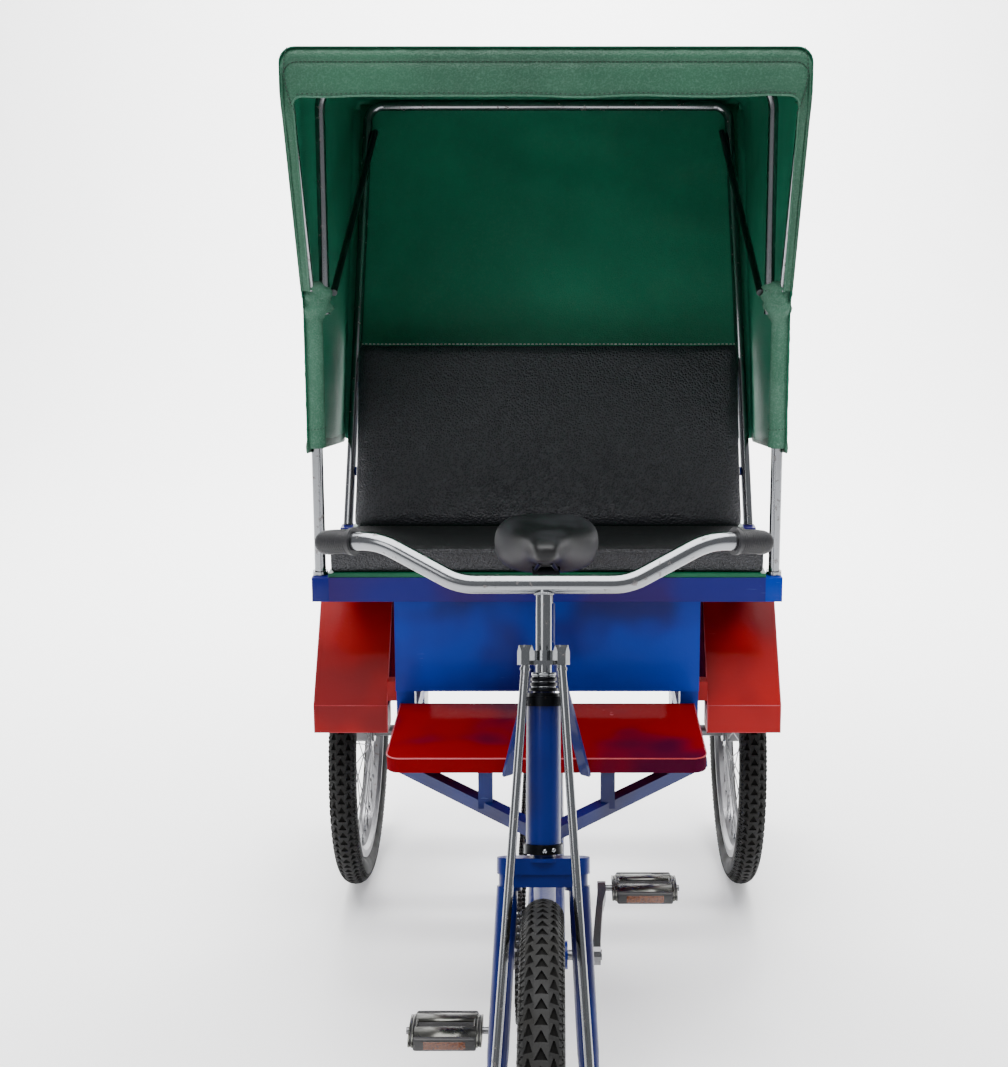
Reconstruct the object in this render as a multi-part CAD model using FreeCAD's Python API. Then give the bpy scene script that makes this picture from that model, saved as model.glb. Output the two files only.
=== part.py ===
import FreeCAD, Part
import math
import os
from FreeCAD import Vector

# A cycle rickshaw: a bicycle front end with a saddle, joined to a chassis that carries a bench seat
# under a cloth hood on three bows. Sizes are in millimetres. Y runs from the front axle to the rear,
# X across the vehicle, Z up from the ground. The last section moves the origin to the middle.

# Driving dimensions: wheels
WHEEL_RADIUS = 334.0
TYRE_WIDTH = 63.5
TYRE_WALL = 5.0
RIM_TOP_RADIUS = 277.5
RIM_INNER_RADIUS = 254.0
RIM_WIDTH = 40.0
RIM_WALL = 3.0
SPOKE_COUNT = 36
SPOKE_RADIUS = 1.2
SPOKE_LACING = 54.0
NIPPLE_OFFSET = 2.0
SPOKE_EYE_INSET = 4.0
WHEELBASE = 1500.0
TRACK = 852.0
FRONT_HUB_RADIUS = 16.0
FRONT_FLANGE_RADIUS = 24.0
FRONT_FLANGE_SPREAD = 70.0
FRONT_AXLE_RADIUS = 5.0
REAR_HUB_RADIUS = 25.0
REAR_FLANGE_RADIUS = 36.0
REAR_FLANGE_SPREAD = 44.0
REAR_AXLE_RADIUS = 12.5
FLANGE_THICKNESS = 4.0
HUB_END = 5.0

# Driving dimensions: steering
HEAD_ANGLE = 70.0
AXIS_SETBACK = 55.0
HEAD_TUBE_BOTTOM = 695.0
HEAD_TUBE_TOP = 869.0
HEAD_TUBE_RADIUS = 24.0
STEERER_RADIUS = 14.3
CUP_RADIUS = 27.0
CUP_HEIGHT = 13.0
LOCK_NUT_HEIGHT = 26.0
CROWN_TOP = 678.0
CROWN_HEIGHT = 36.0
CROWN_HALF_WIDTH = 64.0
CROWN_DEPTH = 38.0
CROWN_TIER = 0.56
CROWN_STEP = 3.0
CROWN_RIM = 5.0
FORK_LEG_RADIUS = 14.8
FORK_TIP_RADIUS = 8.5
FORK_FOOT_RISE = 23.0
FORK_LEG_SPREAD = 98.0
FORK_BEND_SPREAD = 121.0
FORK_TIP_SPREAD = 128.0
FORK_BEND_HEIGHT = 440.0
DROPOUT_THICKNESS = 6.0
STAY_RADIUS = 6.0
STAY_TOP = 922.0
STAY_TOP_SPREAD = 50.0
STAY_TOP_LEAD = 29.0
STAY_TAB = 4.0
STAY_FOOT_LEAD = 27.0
STAY_FOOT_RISE = 16.0
CLIP_HEIGHT = 20.0
CLIP_PLATE = 6.0
CLIP_CAP_HEIGHT = 27.0
AXLE_NUT = 9.0
AXLE_FREE_END = 10.0
CLIP_CAP_RADIUS = 11.5
STEM_RADIUS = 11.1
STEM_FOOT = 805.0
BAR_RADIUS = 13.7
BAR_HEIGHT = 1028.0
BAR_STRAIGHT = 240.0
BAR_BEND = 90.0
BAR_HAND_BEND = 60.0
BAR_SHOULDER = Vector(236.0, 30.0, 55.5)
BAR_HAND = Vector(320.0, 68.0, 44.0)
BAR_END = Vector(324.0, 143.0, 22.5)
GRIP_RADIUS = 17.0
GRIP_START = 51.0
GRIP_WALL_END = 3.0
GRIP_FLANGE = 3.0
GRIP_FLANGE_LENGTH = 5.0

# Driving dimensions: rider's frame, cranks and saddle
CRANK_AXLE_Y = 597.0
CRANK_AXLE_Z = 295.0
CRANK_SHELL_RADIUS = 23.0
CRANK_SHELL_WIDTH = 74.0
SPINDLE_RADIUS = 8.5
SEAT_TUBE_LEAN = 18.6
SEAT_TUBE_TOP = 853.0
SEAT_TUBE_RADIUS = 16.0
TOP_TUBE_RADIUS = 15.0
DOWN_TUBE_RADIUS = 17.0
LOWER_STAY_RADIUS = 11.0
LOWER_STAY_OFFSET = 22.0
SPINE_SIZE = 40.0
SPINE_DROP = 49.0
CRANK_LENGTH = 168.0
CRANK_TILT = 12.5
CRANK_INNER = 62.0
CRANK_INNER_FAR = 80.0
CRANK_THICKNESS = 15.0
CRANK_DISH = 11.0
CRANK_BOSS = 17.0
CRANK_EYE = 12.0
CHAIN_LINE = 45.0
CHAIN_PITCH = 12.7
CHAINRING_TEETH = 52
SPROCKET_TEETH = 20
CHAIN_WIDTH = 9.0
CHAIN_HEIGHT = 9.0
CHAIN_WAIST = 6.4
TOOTH_TIP = 1.0
SPROCKET_THICKNESS = 2.2
PEDAL_LENGTH = 118.0
PEDAL_DEPTH = 84.0
PEDAL_HEIGHT = 28.0
PEDAL_AXLE_RADIUS = 5.5
PEDAL_GAP = 10.0
SEAT_POST_RADIUS = 12.7
SADDLE_TOP = 988.0
SADDLE_LENGTH = 245.0
SADDLE_WIDTH = 191.0
SADDLE_TAIL_Y = 928.0
SADDLE_PAD = 34.0
SADDLE_RAIL_RADIUS = 4.0
SEAT_POST_DEPTH = 78.0
SEAT_POST_RISE = 58.0
SADDLE_WALL = 13.0

# Driving dimensions: passenger chassis
RAIL_SIZE = 36.0
RAIL_SPREAD = 565.0
RAIL_TOP = 522.0
RAIL_FRONT_Y = 945.0
RAIL_BACK_Y = 1838.0
UPRIGHT_FRONT_Y = 1102.0
UPRIGHT_BACK_Y = 1452.0
HANGER_THICKNESS = 12.0
BEARING_RADIUS = 30.0
ARM_SIZE = 24.0
ARM_LANDING = 48.0
SPINE_LENGTH = 150.0
STUB_SIZE = 26.0
STUB_SPREAD = 223.0
FLAT_STAY_SPREAD = 142.0
SHEET = 2.5
FOOTBOARD_HEIGHT = 28.0
FOOTBOARD_FRONT_Y = 824.0
FOOTBOARD_BACK_Y = 1100.0
FOOTBOARD_WIDTH = 584.0
FOOTBOARD_CORNER = 26.0
SEAT_RAIL_TOP = 822.0
SEAT_RAIL_DEPTH = 50.0
SEAT_RAIL_WIDTH = 912.0
SEAT_FRONT_Y = 1060.0
SEAT_BACK_Y = 1502.0
APRON_WIDTH = 600.0
APRON_BOTTOM = 581.0
MUDGUARD_INNER = 319.0
MUDGUARD_OVERHANG = 11.0
MUDGUARD_TOP = 720.0
MUDGUARD_LIP_TOP = 543.0
MUDGUARD_LIP_BOTTOM = 486.0
MUDGUARD_REACH = 395.0
MUDGUARD_FLAT = 270.0
MUDGUARD_SKIRT = 58.0

# Driving dimensions: seat and hood
BOARD_THICKNESS = 8.0
CUSHION_FRONT_TOP = 878.0
CUSHION_BACK_TOP = 842.0
CUSHION_BACK_Y = 1381.0
CUSHION_INSET = 32.0
BACKREST_INSET = 40.0
BACKREST_TOP = 1211.0
BACKREST_THICKNESS = 52.0
BACK_LEAN = 20.0
POST_RADIUS = 11.0
POST_INSET = 14.0
POST_Y = 1084.0
JOINT_SHARE = 0.402
BOW_INSET = 11.0
BRACE_RADIUS = 7.0
BOW_DROP = 32.0
BOW_CORNER = 70.0
HOOP_FOOT_Y = 1484.0
HOOP_DROP = 74.0
HOOP_NARROWING = 46.0
FRONT_BOW_RADIUS = 6.0
HOOD_FRONT_Y = 905.0
HOOD_ROOF = 1812.0
HOOD_OVERHANG = 6.0
HOOD_CORNER = 46.0
HOOD_CLOTH = 4.0
VALANCE_DEPTH = 84.0
SLEEVE_HEM = 1073.0
REAR_HEM = 1000.0
BACK_PANEL_HEM = 1210.0

# Clearances
GAP = 0.3
RUNNING = 0.3
FIT = 0.1
PRESS = 0.05
WELD = 0.02
BEYOND = 4000.0
BORE_REACH = 60.0
TWO_PI = 2.0 * math.pi

# Worked out from the sizes above
BOW_TOP = HOOD_ROOF - BOW_DROP
HOOP_TOP = HOOD_ROOF - HOOP_DROP
VALANCE_BOTTOM = HOOD_ROOF - VALANCE_DEPTH
JOINT_HEIGHT = SLEEVE_HEM + JOINT_SHARE * (HOOD_ROOF - SLEEVE_HEM)
POST_SPREAD = SEAT_RAIL_WIDTH - 2.0 * POST_INSET
BOW_SPREAD = POST_SPREAD - 2.0 * BOW_INSET
HOOP_FOOT_SPREAD = POST_SPREAD
HOOP_TOP_SPREAD = HOOP_FOOT_SPREAD - HOOP_NARROWING
HOOD_WIDTH = SEAT_RAIL_WIDTH + 2.0 * HOOD_OVERHANG
CUSHION_WIDTH = SEAT_RAIL_WIDTH - 2.0 * CUSHION_INSET
BACKREST_WIDTH = SEAT_RAIL_WIDTH - 2.0 * BACKREST_INSET
MUDGUARD_OUTER = SEAT_RAIL_WIDTH / 2.0 + MUDGUARD_OVERHANG
FOOTBOARD_TOP = RAIL_TOP + FOOTBOARD_HEIGHT
AXIS_TILT = math.radians(90.0 - HEAD_ANGLE)
SEAT_LEAN = math.tan(math.radians(SEAT_TUBE_LEAN))
BACK_SLOPE = math.tan(math.radians(BACK_LEAN))
RAIL_BOTTOM = RAIL_TOP - RAIL_SIZE
RAIL_FACE = SEAT_RAIL_TOP - 2.0
SPINE_HEIGHT = RAIL_BOTTOM - SPINE_DROP
MUDGUARD_FRONT_Y = WHEELBASE - MUDGUARD_REACH
MUDGUARD_BACK_Y = WHEELBASE + MUDGUARD_REACH
ORIGIN_Y = (MUDGUARD_BACK_Y - WHEEL_RADIUS) / 2.0
X_AXIS = Vector(1, 0, 0)
Z_AXIS = Vector(0, 0, 1)

parts = {}


def axis_y(z):
    """The steering axis's Y at a height."""
    return AXIS_SETBACK + (z - WHEEL_RADIUS) * math.tan(AXIS_TILT)


def seat_tube_y(z):
    """The seat tube's Y at a height."""
    return CRANK_AXLE_Y + (z - CRANK_AXLE_Z) * SEAT_LEAN


def hoop_y(z):
    """The rear hoop's Y at a height."""
    return HOOP_FOOT_Y + (z - SEAT_RAIL_TOP) * BACK_SLOPE


def hoop_half(z):
    """The rear hoop's half spread at a height."""
    share = (z - SEAT_RAIL_TOP) / (HOOP_TOP - SEAT_RAIL_TOP)
    return 0.5 * (HOOP_FOOT_SPREAD + share * (HOOP_TOP_SPREAD - HOOP_FOOT_SPREAD))


def box(x0, x1, y0, y1, z0, z1):
    return Part.makeBox(x1 - x0, y1 - y0, z1 - z0, Vector(x0, y0, z0))


def rod(start, end, radius):
    span = end - start
    return Part.makeCylinder(radius, span.Length, start, span)


def across(radius, x0, x1, y, z):
    """A round bar along X."""
    return Part.makeCylinder(radius, x1 - x0, Vector(x0, y, z), X_AXIS)


def square_bar(start, end, size, height=None):
    """A rectangular bar between two points, its top face level across."""
    height = height or size
    span = end - start
    bar = Part.makeBox(span.Length, size, height, Vector(0, -size / 2.0, -height / 2.0))
    side = Z_AXIS.cross(span).normalize()
    top = span.cross(side).normalize()
    along = FreeCAD.Rotation(span, side, top, "XYZ")
    bar.Placement = FreeCAD.Placement(start, along)
    return bar


def face_of(points):
    return Part.Face(Part.makePolygon(points + [points[0]]))


def side_plate(outline, x0, x1):
    """A plate cut to an outline of (y, z) points, from x0 to x1."""
    return face_of([Vector(x0, y, z) for y, z in outline]).extrude(Vector(x1 - x0, 0, 0))


def fuse(shapes):
    whole = shapes[0].multiFuse(shapes[1:]) if len(shapes) > 1 else shapes[0]
    return whole.removeSplitter()


def mirrored(shape):
    return shape.mirror(Vector(0, 0, 0), X_AXIS)


def on_axis(shape, z):
    """Stands a shape that was built upright on the steering axis at a height."""
    placed = shape.copy()
    placed.rotate(Vector(0, 0, 0), X_AXIS, -math.degrees(AXIS_TILT))
    placed.translate(Vector(0, axis_y(z), z))
    return placed


def along_axis(z0, z1):
    """The distance along the steering axis between two heights."""
    return (z1 - z0) / math.cos(AXIS_TILT)


def bent_path(points, bend, last_bend=None):
    """Straight runs joined by arcs of one radius, the last of them with its own where it is given."""
    edges = []
    start = points[0]
    for i in range(1, len(points) - 1):
        before = (points[i] - points[i - 1]).normalize()
        after = (points[i + 1] - points[i]).normalize()
        turn = before.getAngle(after)
        if last_bend and i == len(points) - 2:
            bend = last_bend
        cut = bend * math.tan(turn / 2.0)
        first = points[i] - before * cut
        last = points[i] + after * cut
        inward = (after - before).normalize()
        middle = points[i] + inward * (bend / math.cos(turn / 2.0) - bend)
        edges.append(Part.LineSegment(start, first).toShape())
        edges.append(Part.Arc(first, middle, last).toShape())
        start = last
    edges.append(Part.LineSegment(start, points[-1]).toShape())
    return Part.Wire(edges)


def bent_rod(path, radius):
    first = path.Edges[0]
    begin = first.valueAt(first.FirstParameter)
    heading = first.tangentAt(first.FirstParameter)
    ring = Part.Wire(Part.makeCircle(radius, begin, heading))
    return path.makePipeShell([ring], True, True)


def ring_of(profile, x, y, z):
    """Turns an (offset along X, radius) outline about an axle at y, z."""
    points = [Vector(x + offset, y, z + r) for offset, r in profile]
    return face_of(points).revolve(Vector(x, y, z), X_AXIS, 360)


# A wheel: tyre, rim, and hub with laced spokes
def tyre_at(x, y):
    outer = TYRE_WIDTH / 2.0
    centre = WHEEL_RADIUS - outer
    inner = outer - TYRE_WALL
    seat = RIM_TOP_RADIUS + GAP

    def arc_point(radius, degrees):
        angle = math.radians(degrees)
        return Vector(x + radius * math.sin(angle), y, WHEEL_RADIUS + centre + radius * math.cos(angle))

    def side_of(radius):
        return math.sqrt(radius * radius - (centre - seat) ** 2)

    seat_z = WHEEL_RADIUS + seat
    left_out = Vector(x - side_of(outer), y, seat_z)
    right_out = Vector(x + side_of(outer), y, seat_z)
    left_in = Vector(x - side_of(inner), y, seat_z)
    right_in = Vector(x + side_of(inner), y, seat_z)
    outline = Part.Wire([
        Part.Arc(left_out, arc_point(outer, 0), right_out).toShape(),
        Part.LineSegment(right_out, right_in).toShape(),
        Part.Arc(right_in, arc_point(inner, 0), left_in).toShape(),
        Part.LineSegment(left_in, left_out).toShape(),
    ])
    return Part.Face(outline).revolve(Vector(x, y, WHEEL_RADIUS), X_AXIS, 360)


def rim_at(x, y):
    half = RIM_WIDTH / 2.0
    floor = RIM_TOP_RADIUS - 12.0
    knee = floor - RIM_WALL
    crown = half - 7.5
    profile = [
        (-half, RIM_TOP_RADIUS), (-half, knee), (-crown, RIM_INNER_RADIUS), (crown, RIM_INNER_RADIUS),
        (half, knee), (half, RIM_TOP_RADIUS), (half - RIM_WALL, RIM_TOP_RADIUS), (half - RIM_WALL, floor),
        (RIM_WALL - half, floor), (RIM_WALL - half, RIM_TOP_RADIUS),
    ]
    return ring_of(profile, x, y, WHEEL_RADIUS)


def hub_at(x, y, body_radius, flange_radius, spread, bore):
    """A hub shell with two flanges, its spokes crossing on their way to the rim."""
    half = spread / 2.0
    lip = half + FLANGE_THICKNESS
    profile = [
        (-lip - HUB_END, bore), (-lip - HUB_END, body_radius), (-lip, body_radius), (-lip, flange_radius),
        (-half, flange_radius), (-half, body_radius), (half, body_radius), (half, flange_radius),
        (lip, flange_radius), (lip, body_radius), (lip + HUB_END, body_radius), (lip + HUB_END, bore),
    ]
    pieces = [ring_of(profile, x, y, WHEEL_RADIUS)]
    eye = flange_radius - SPOKE_EYE_INSET
    reach = RIM_INNER_RADIUS - GAP
    for i in range(SPOKE_COUNT):
        side = 1.0 if i % 2 else -1.0
        trailing = 1.0 if i % 4 < 2 else -1.0
        rim_angle = TWO_PI * i / SPOKE_COUNT
        hub_angle = rim_angle + trailing * math.radians(SPOKE_LACING)
        foot = Vector(x + side * (half + FLANGE_THICKNESS / 2.0 + trailing * 1.2),
                      y + eye * math.sin(hub_angle), WHEEL_RADIUS + eye * math.cos(hub_angle))
        head = Vector(x + side * NIPPLE_OFFSET, y + reach * math.sin(rim_angle),
                      WHEEL_RADIUS + reach * math.cos(rim_angle))
        pieces.append(rod(foot, head, SPOKE_RADIUS))
    return fuse(pieces)


def make_wheels():
    half_track = TRACK / 2.0
    front_bore = FRONT_AXLE_RADIUS + RUNNING
    rear_bore = REAR_AXLE_RADIUS + RUNNING
    fixed_bore = REAR_AXLE_RADIUS + PRESS
    rear_hub = (REAR_HUB_RADIUS, REAR_FLANGE_RADIUS, REAR_FLANGE_SPREAD)
    hubs = {
        "front": (0.0, 0.0, FRONT_HUB_RADIUS, FRONT_FLANGE_RADIUS, FRONT_FLANGE_SPREAD, front_bore),
        "rear_left": (half_track, WHEELBASE, *rear_hub, rear_bore),
        "rear_right": (-half_track, WHEELBASE, *rear_hub, fixed_bore),
    }
    for name, hub in hubs.items():
        parts[name + "_tyre"] = tyre_at(hub[0], hub[1])
        parts[name + "_rim"] = rim_at(hub[0], hub[1])
        parts[name + "_hub_and_spokes"] = hub_at(*hub)


# Rear axle with its sprocket, turning with the right wheel
def toothed_disc(teeth, thickness, bore, x, y, z):
    pitch_radius = CHAIN_PITCH / (2.0 * math.sin(math.pi / teeth))
    tip = pitch_radius + TOOTH_TIP
    root = pitch_radius - 4.0
    outline = []
    for i in range(teeth):
        for share, radius in ((-0.32, root), (-0.12, tip), (0.12, tip), (0.32, root)):
            angle = TWO_PI * (i + share) / teeth
            outline.append((y + radius * math.sin(angle), z + radius * math.cos(angle)))
    disc = side_plate(outline, x - thickness / 2.0, x + thickness / 2.0)
    return disc.cut(across(bore, x - thickness, x + thickness, y, z))


def make_rear_axle():
    cap_inner = TRACK / 2.0 + REAR_FLANGE_SPREAD / 2.0 + FLANGE_THICKNESS + HUB_END + GAP
    end = cap_inner + 9.0
    axle = across(REAR_AXLE_RADIUS, -end, end, WHEELBASE, WHEEL_RADIUS)
    cap = across(REAR_AXLE_RADIUS + 6.0, cap_inner, end, WHEELBASE, WHEEL_RADIUS)
    parts["rear_axle"] = fuse([axle, cap, mirrored(cap)])
    bore = REAR_AXLE_RADIUS + PRESS
    disc = toothed_disc(SPROCKET_TEETH, SPROCKET_THICKNESS, bore, -CHAIN_LINE, WHEELBASE, WHEEL_RADIUS)
    boss = across(bore + 8.0, -CHAIN_LINE - 14.0, -CHAIN_LINE, WHEELBASE, WHEEL_RADIUS)
    boss = boss.cut(across(bore, -CHAIN_LINE - 20.0, -CHAIN_LINE + 20.0, WHEELBASE, WHEEL_RADIUS))
    parts["sprocket"] = fuse([disc, boss])


# Fork: steerer, two-tier crown, two legs that curve forward to the dropouts
def fork_leg():
    half = FORK_LEG_SPREAD / 2.0
    tip = FORK_TIP_SPREAD / 2.0
    start_z = CROWN_TOP - CROWN_HEIGHT
    start = Vector(half, axis_y(start_z), start_z)
    knee = Vector(FORK_BEND_SPREAD / 2.0, axis_y(FORK_BEND_HEIGHT), FORK_BEND_HEIGHT)
    foot = Vector(tip, 0.0, WHEEL_RADIUS + FORK_FOOT_RISE)
    heading = (knee - start).normalize()
    chord = foot - knee
    swing = heading.getAngle(chord)
    normal = heading.cross(chord).normalize()
    inward = normal.cross(chord).normalize()
    sag = chord.Length / 2.0 * math.tan(swing / 2.0)
    middle = knee + chord * 0.5 - inward * sag
    blade = Part.Arc(knee, middle, foot).toShape()
    ends = []
    for radius, place in ((FORK_LEG_RADIUS, blade.FirstParameter), (FORK_TIP_RADIUS, blade.LastParameter)):
        ends.append(Part.Wire(Part.makeCircle(radius, blade.valueAt(place), blade.tangentAt(place))))
    leg = rod(start, knee, FORK_LEG_RADIUS)
    leg = leg.fuse(Part.Wire(blade).makePipeShell(ends, True, True))
    leg = leg.fuse(Part.makeSphere(FORK_LEG_RADIUS, knee))
    shoulder = WHEEL_RADIUS + 10.0
    dropout = side_plate(
        [(-13.0, WHEEL_RADIUS - 14.0), (-13.0, shoulder), (-FORK_TIP_RADIUS, WHEEL_RADIUS + FORK_FOOT_RISE),
         (-FORK_TIP_RADIUS, foot.z + 8.0), (FORK_TIP_RADIUS, foot.z + 8.0), (13.0, shoulder),
         (13.0, WHEEL_RADIUS - 14.0)],
        tip - DROPOUT_THICKNESS / 2.0, tip + DROPOUT_THICKNESS / 2.0)
    leg = leg.fuse(dropout)
    return leg.cut(across(FRONT_AXLE_RADIUS + FIT, tip - 30.0, tip + 30.0, 0.0, WHEEL_RADIUS))


def crown():
    """Two tiers between two round lugs, as a brazed crown is."""
    height = along_axis(0.0, CROWN_HEIGHT)
    pieces = [Part.makeCylinder(HEAD_TUBE_RADIUS + 2.0, CROWN_RIM, Vector(0, 0, -CROWN_RIM))]
    for radius, drop, foot in ((CROWN_DEPTH / 2.0, height * CROWN_TIER, height * CROWN_TIER),
                               (CROWN_DEPTH / 2.0 - CROWN_STEP, height, height + CROWN_RIM)):
        reach = CROWN_HALF_WIDTH - CROWN_DEPTH / 2.0
        pieces.append(Part.makeBox(2.0 * reach, 2.0 * radius, drop, Vector(-reach, -radius, -drop)))
        for x in (-reach, reach):
            pieces.append(Part.makeCylinder(radius, foot, Vector(x, 0, -foot)))
    return on_axis(fuse(pieces), CROWN_TOP)


def make_fork():
    leg = fork_leg()
    length = along_axis(CROWN_TOP - 2.0, STAY_TOP - CLIP_HEIGHT / 2.0)
    steerer = on_axis(Part.makeCylinder(STEERER_RADIUS, length), CROWN_TOP - 2.0)
    quill_foot = STEM_FOOT - 5.0
    quill = on_axis(Part.makeCylinder(STEM_RADIUS + FIT, along_axis(quill_foot, BAR_HEIGHT)), quill_foot)
    parts["fork"] = fuse([crown(), leg, mirrored(leg), steerer]).cut(quill)
    tip = FORK_TIP_SPREAD / 2.0 + DROPOUT_THICKNESS / 2.0
    tab_end = tip + GAP + STAY_TAB
    end = tab_end + GAP + AXLE_NUT + AXLE_FREE_END
    hub_end = FRONT_FLANGE_SPREAD / 2.0 + FLANGE_THICKNESS + HUB_END + GAP
    cone = across(FRONT_AXLE_RADIUS + 3.5, hub_end, FORK_TIP_SPREAD / 2.0 - DROPOUT_THICKNESS / 2.0 - GAP,
                  0.0, WHEEL_RADIUS)
    nut = across(FRONT_AXLE_RADIUS + 4.5, tab_end + GAP, end - AXLE_FREE_END, 0.0, WHEEL_RADIUS)
    axle = across(FRONT_AXLE_RADIUS, -end, end, 0.0, WHEEL_RADIUS)
    parts["front_axle"] = fuse([axle, cone, mirrored(cone), nut, mirrored(nut)])
    return tip


def make_truss(tip):
    """Two bright rods from the axle ends to a clip under the stem."""
    tab_x = tip + GAP
    foot = Vector(tab_x + STAY_TAB / 2.0, -STAY_FOOT_LEAD, WHEEL_RADIUS + STAY_FOOT_RISE)
    plate_reach = STAY_TOP_LEAD * math.cos(AXIS_TILT)
    cap_base = Vector(STAY_TOP_SPREAD / 2.0, axis_y(STAY_TOP) - plate_reach * math.cos(AXIS_TILT),
                      STAY_TOP + plate_reach * math.sin(AXIS_TILT))
    heading = (cap_base - foot).normalize()
    stay = rod(foot, cap_base + heading * 6.0, STAY_RADIUS)
    sleeve = rod(cap_base - heading * 8.0, cap_base - heading * 4.0, STAY_RADIUS + 1.2)
    stay = stay.fuse(sleeve)
    tab = side_plate(
        [(9.0, WHEEL_RADIUS - 7.0), (9.0, WHEEL_RADIUS + 8.0), (foot.y + 3.0, foot.z + 12.0),
         (foot.y - 6.0, foot.z + 4.0), (foot.y - 4.0, foot.z - 8.0), (-5.0, WHEEL_RADIUS - 11.0)],
        tab_x, tab_x + STAY_TAB)
    tab = tab.cut(across(FRONT_AXLE_RADIUS + FIT, 0.0, 2.0 * tab_x, 0.0, WHEEL_RADIUS))
    stay = stay.fuse(tab)
    plate = Part.makeBox(STAY_TOP_SPREAD, plate_reach, CLIP_PLATE,
                         Vector(-STAY_TOP_SPREAD / 2.0, -plate_reach, 0))
    boss = Part.makeCylinder(STEERER_RADIUS + 4.0, CLIP_PLATE, Vector(0, 0, 0))
    collar = Part.makeCylinder(STEERER_RADIUS + 1.5, CLIP_HEIGHT, Vector(0, 0, 0))
    pieces = [plate, boss, collar]
    for side in (-1.0, 1.0):
        corners = [
            Vector(side * STAY_TOP_SPREAD / 2.0 + CLIP_CAP_RADIUS * math.cos(math.radians(60.0 * k)),
                   -plate_reach + CLIP_CAP_RADIUS * math.sin(math.radians(60.0 * k)), 0.0)
            for k in range(6)
        ]
        cap = face_of(corners).extrude(Vector(0, 0, CLIP_CAP_HEIGHT))
        dome = Part.makeCone(CLIP_CAP_RADIUS + 4.0, CLIP_CAP_RADIUS - 2.0, CLIP_CAP_HEIGHT,
                             Vector(side * STAY_TOP_SPREAD / 2.0, -plate_reach, 0))
        pieces.append(cap.common(dome))
    clip = on_axis(fuse(pieces), STAY_TOP)
    clip = clip.cut(on_axis(Part.makeCylinder(STEM_RADIUS + GAP, 200.0, Vector(0, 0, -100.0)), STAY_TOP))
    stays = [stay.cut(clip), mirrored(stay).cut(clip)]
    parts["truss_stays"] = Part.makeCompound(stays)
    parts["stay_clip"] = clip


def make_handlebar():
    centre_y = axis_y(BAR_HEIGHT)
    half = BAR_STRAIGHT / 2.0
    middle = Vector(0.0, centre_y, BAR_HEIGHT)
    points = [middle, middle + X_AXIS * half, middle + BAR_SHOULDER, middle + BAR_HAND, middle + BAR_END]
    side = bent_rod(bent_path(points, BAR_BEND, BAR_HAND_BEND), BAR_RADIUS)
    stem = rod(Vector(0, axis_y(STEM_FOOT), STEM_FOOT), middle, STEM_RADIUS)
    parts["handlebar"] = fuse([side, mirrored(side), stem])
    inward = (points[3] - points[2]).normalize()
    outward = (points[4] - points[3]).normalize()
    start = points[3] - inward * GRIP_START
    end = points[4] + outward * GRIP_WALL_END
    grip = bent_rod(bent_path([start, points[3], end], BAR_HAND_BEND), GRIP_RADIUS)
    grip = grip.fuse(rod(start, start + inward * GRIP_FLANGE_LENGTH, GRIP_RADIUS + GRIP_FLANGE))
    room = bent_path([start - inward, points[3], points[4] + outward * GAP], BAR_HAND_BEND)
    grip = grip.cut(bent_rod(room, BAR_RADIUS + GAP))
    parts["grip_left"] = grip
    parts["grip_right"] = mirrored(grip)


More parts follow.
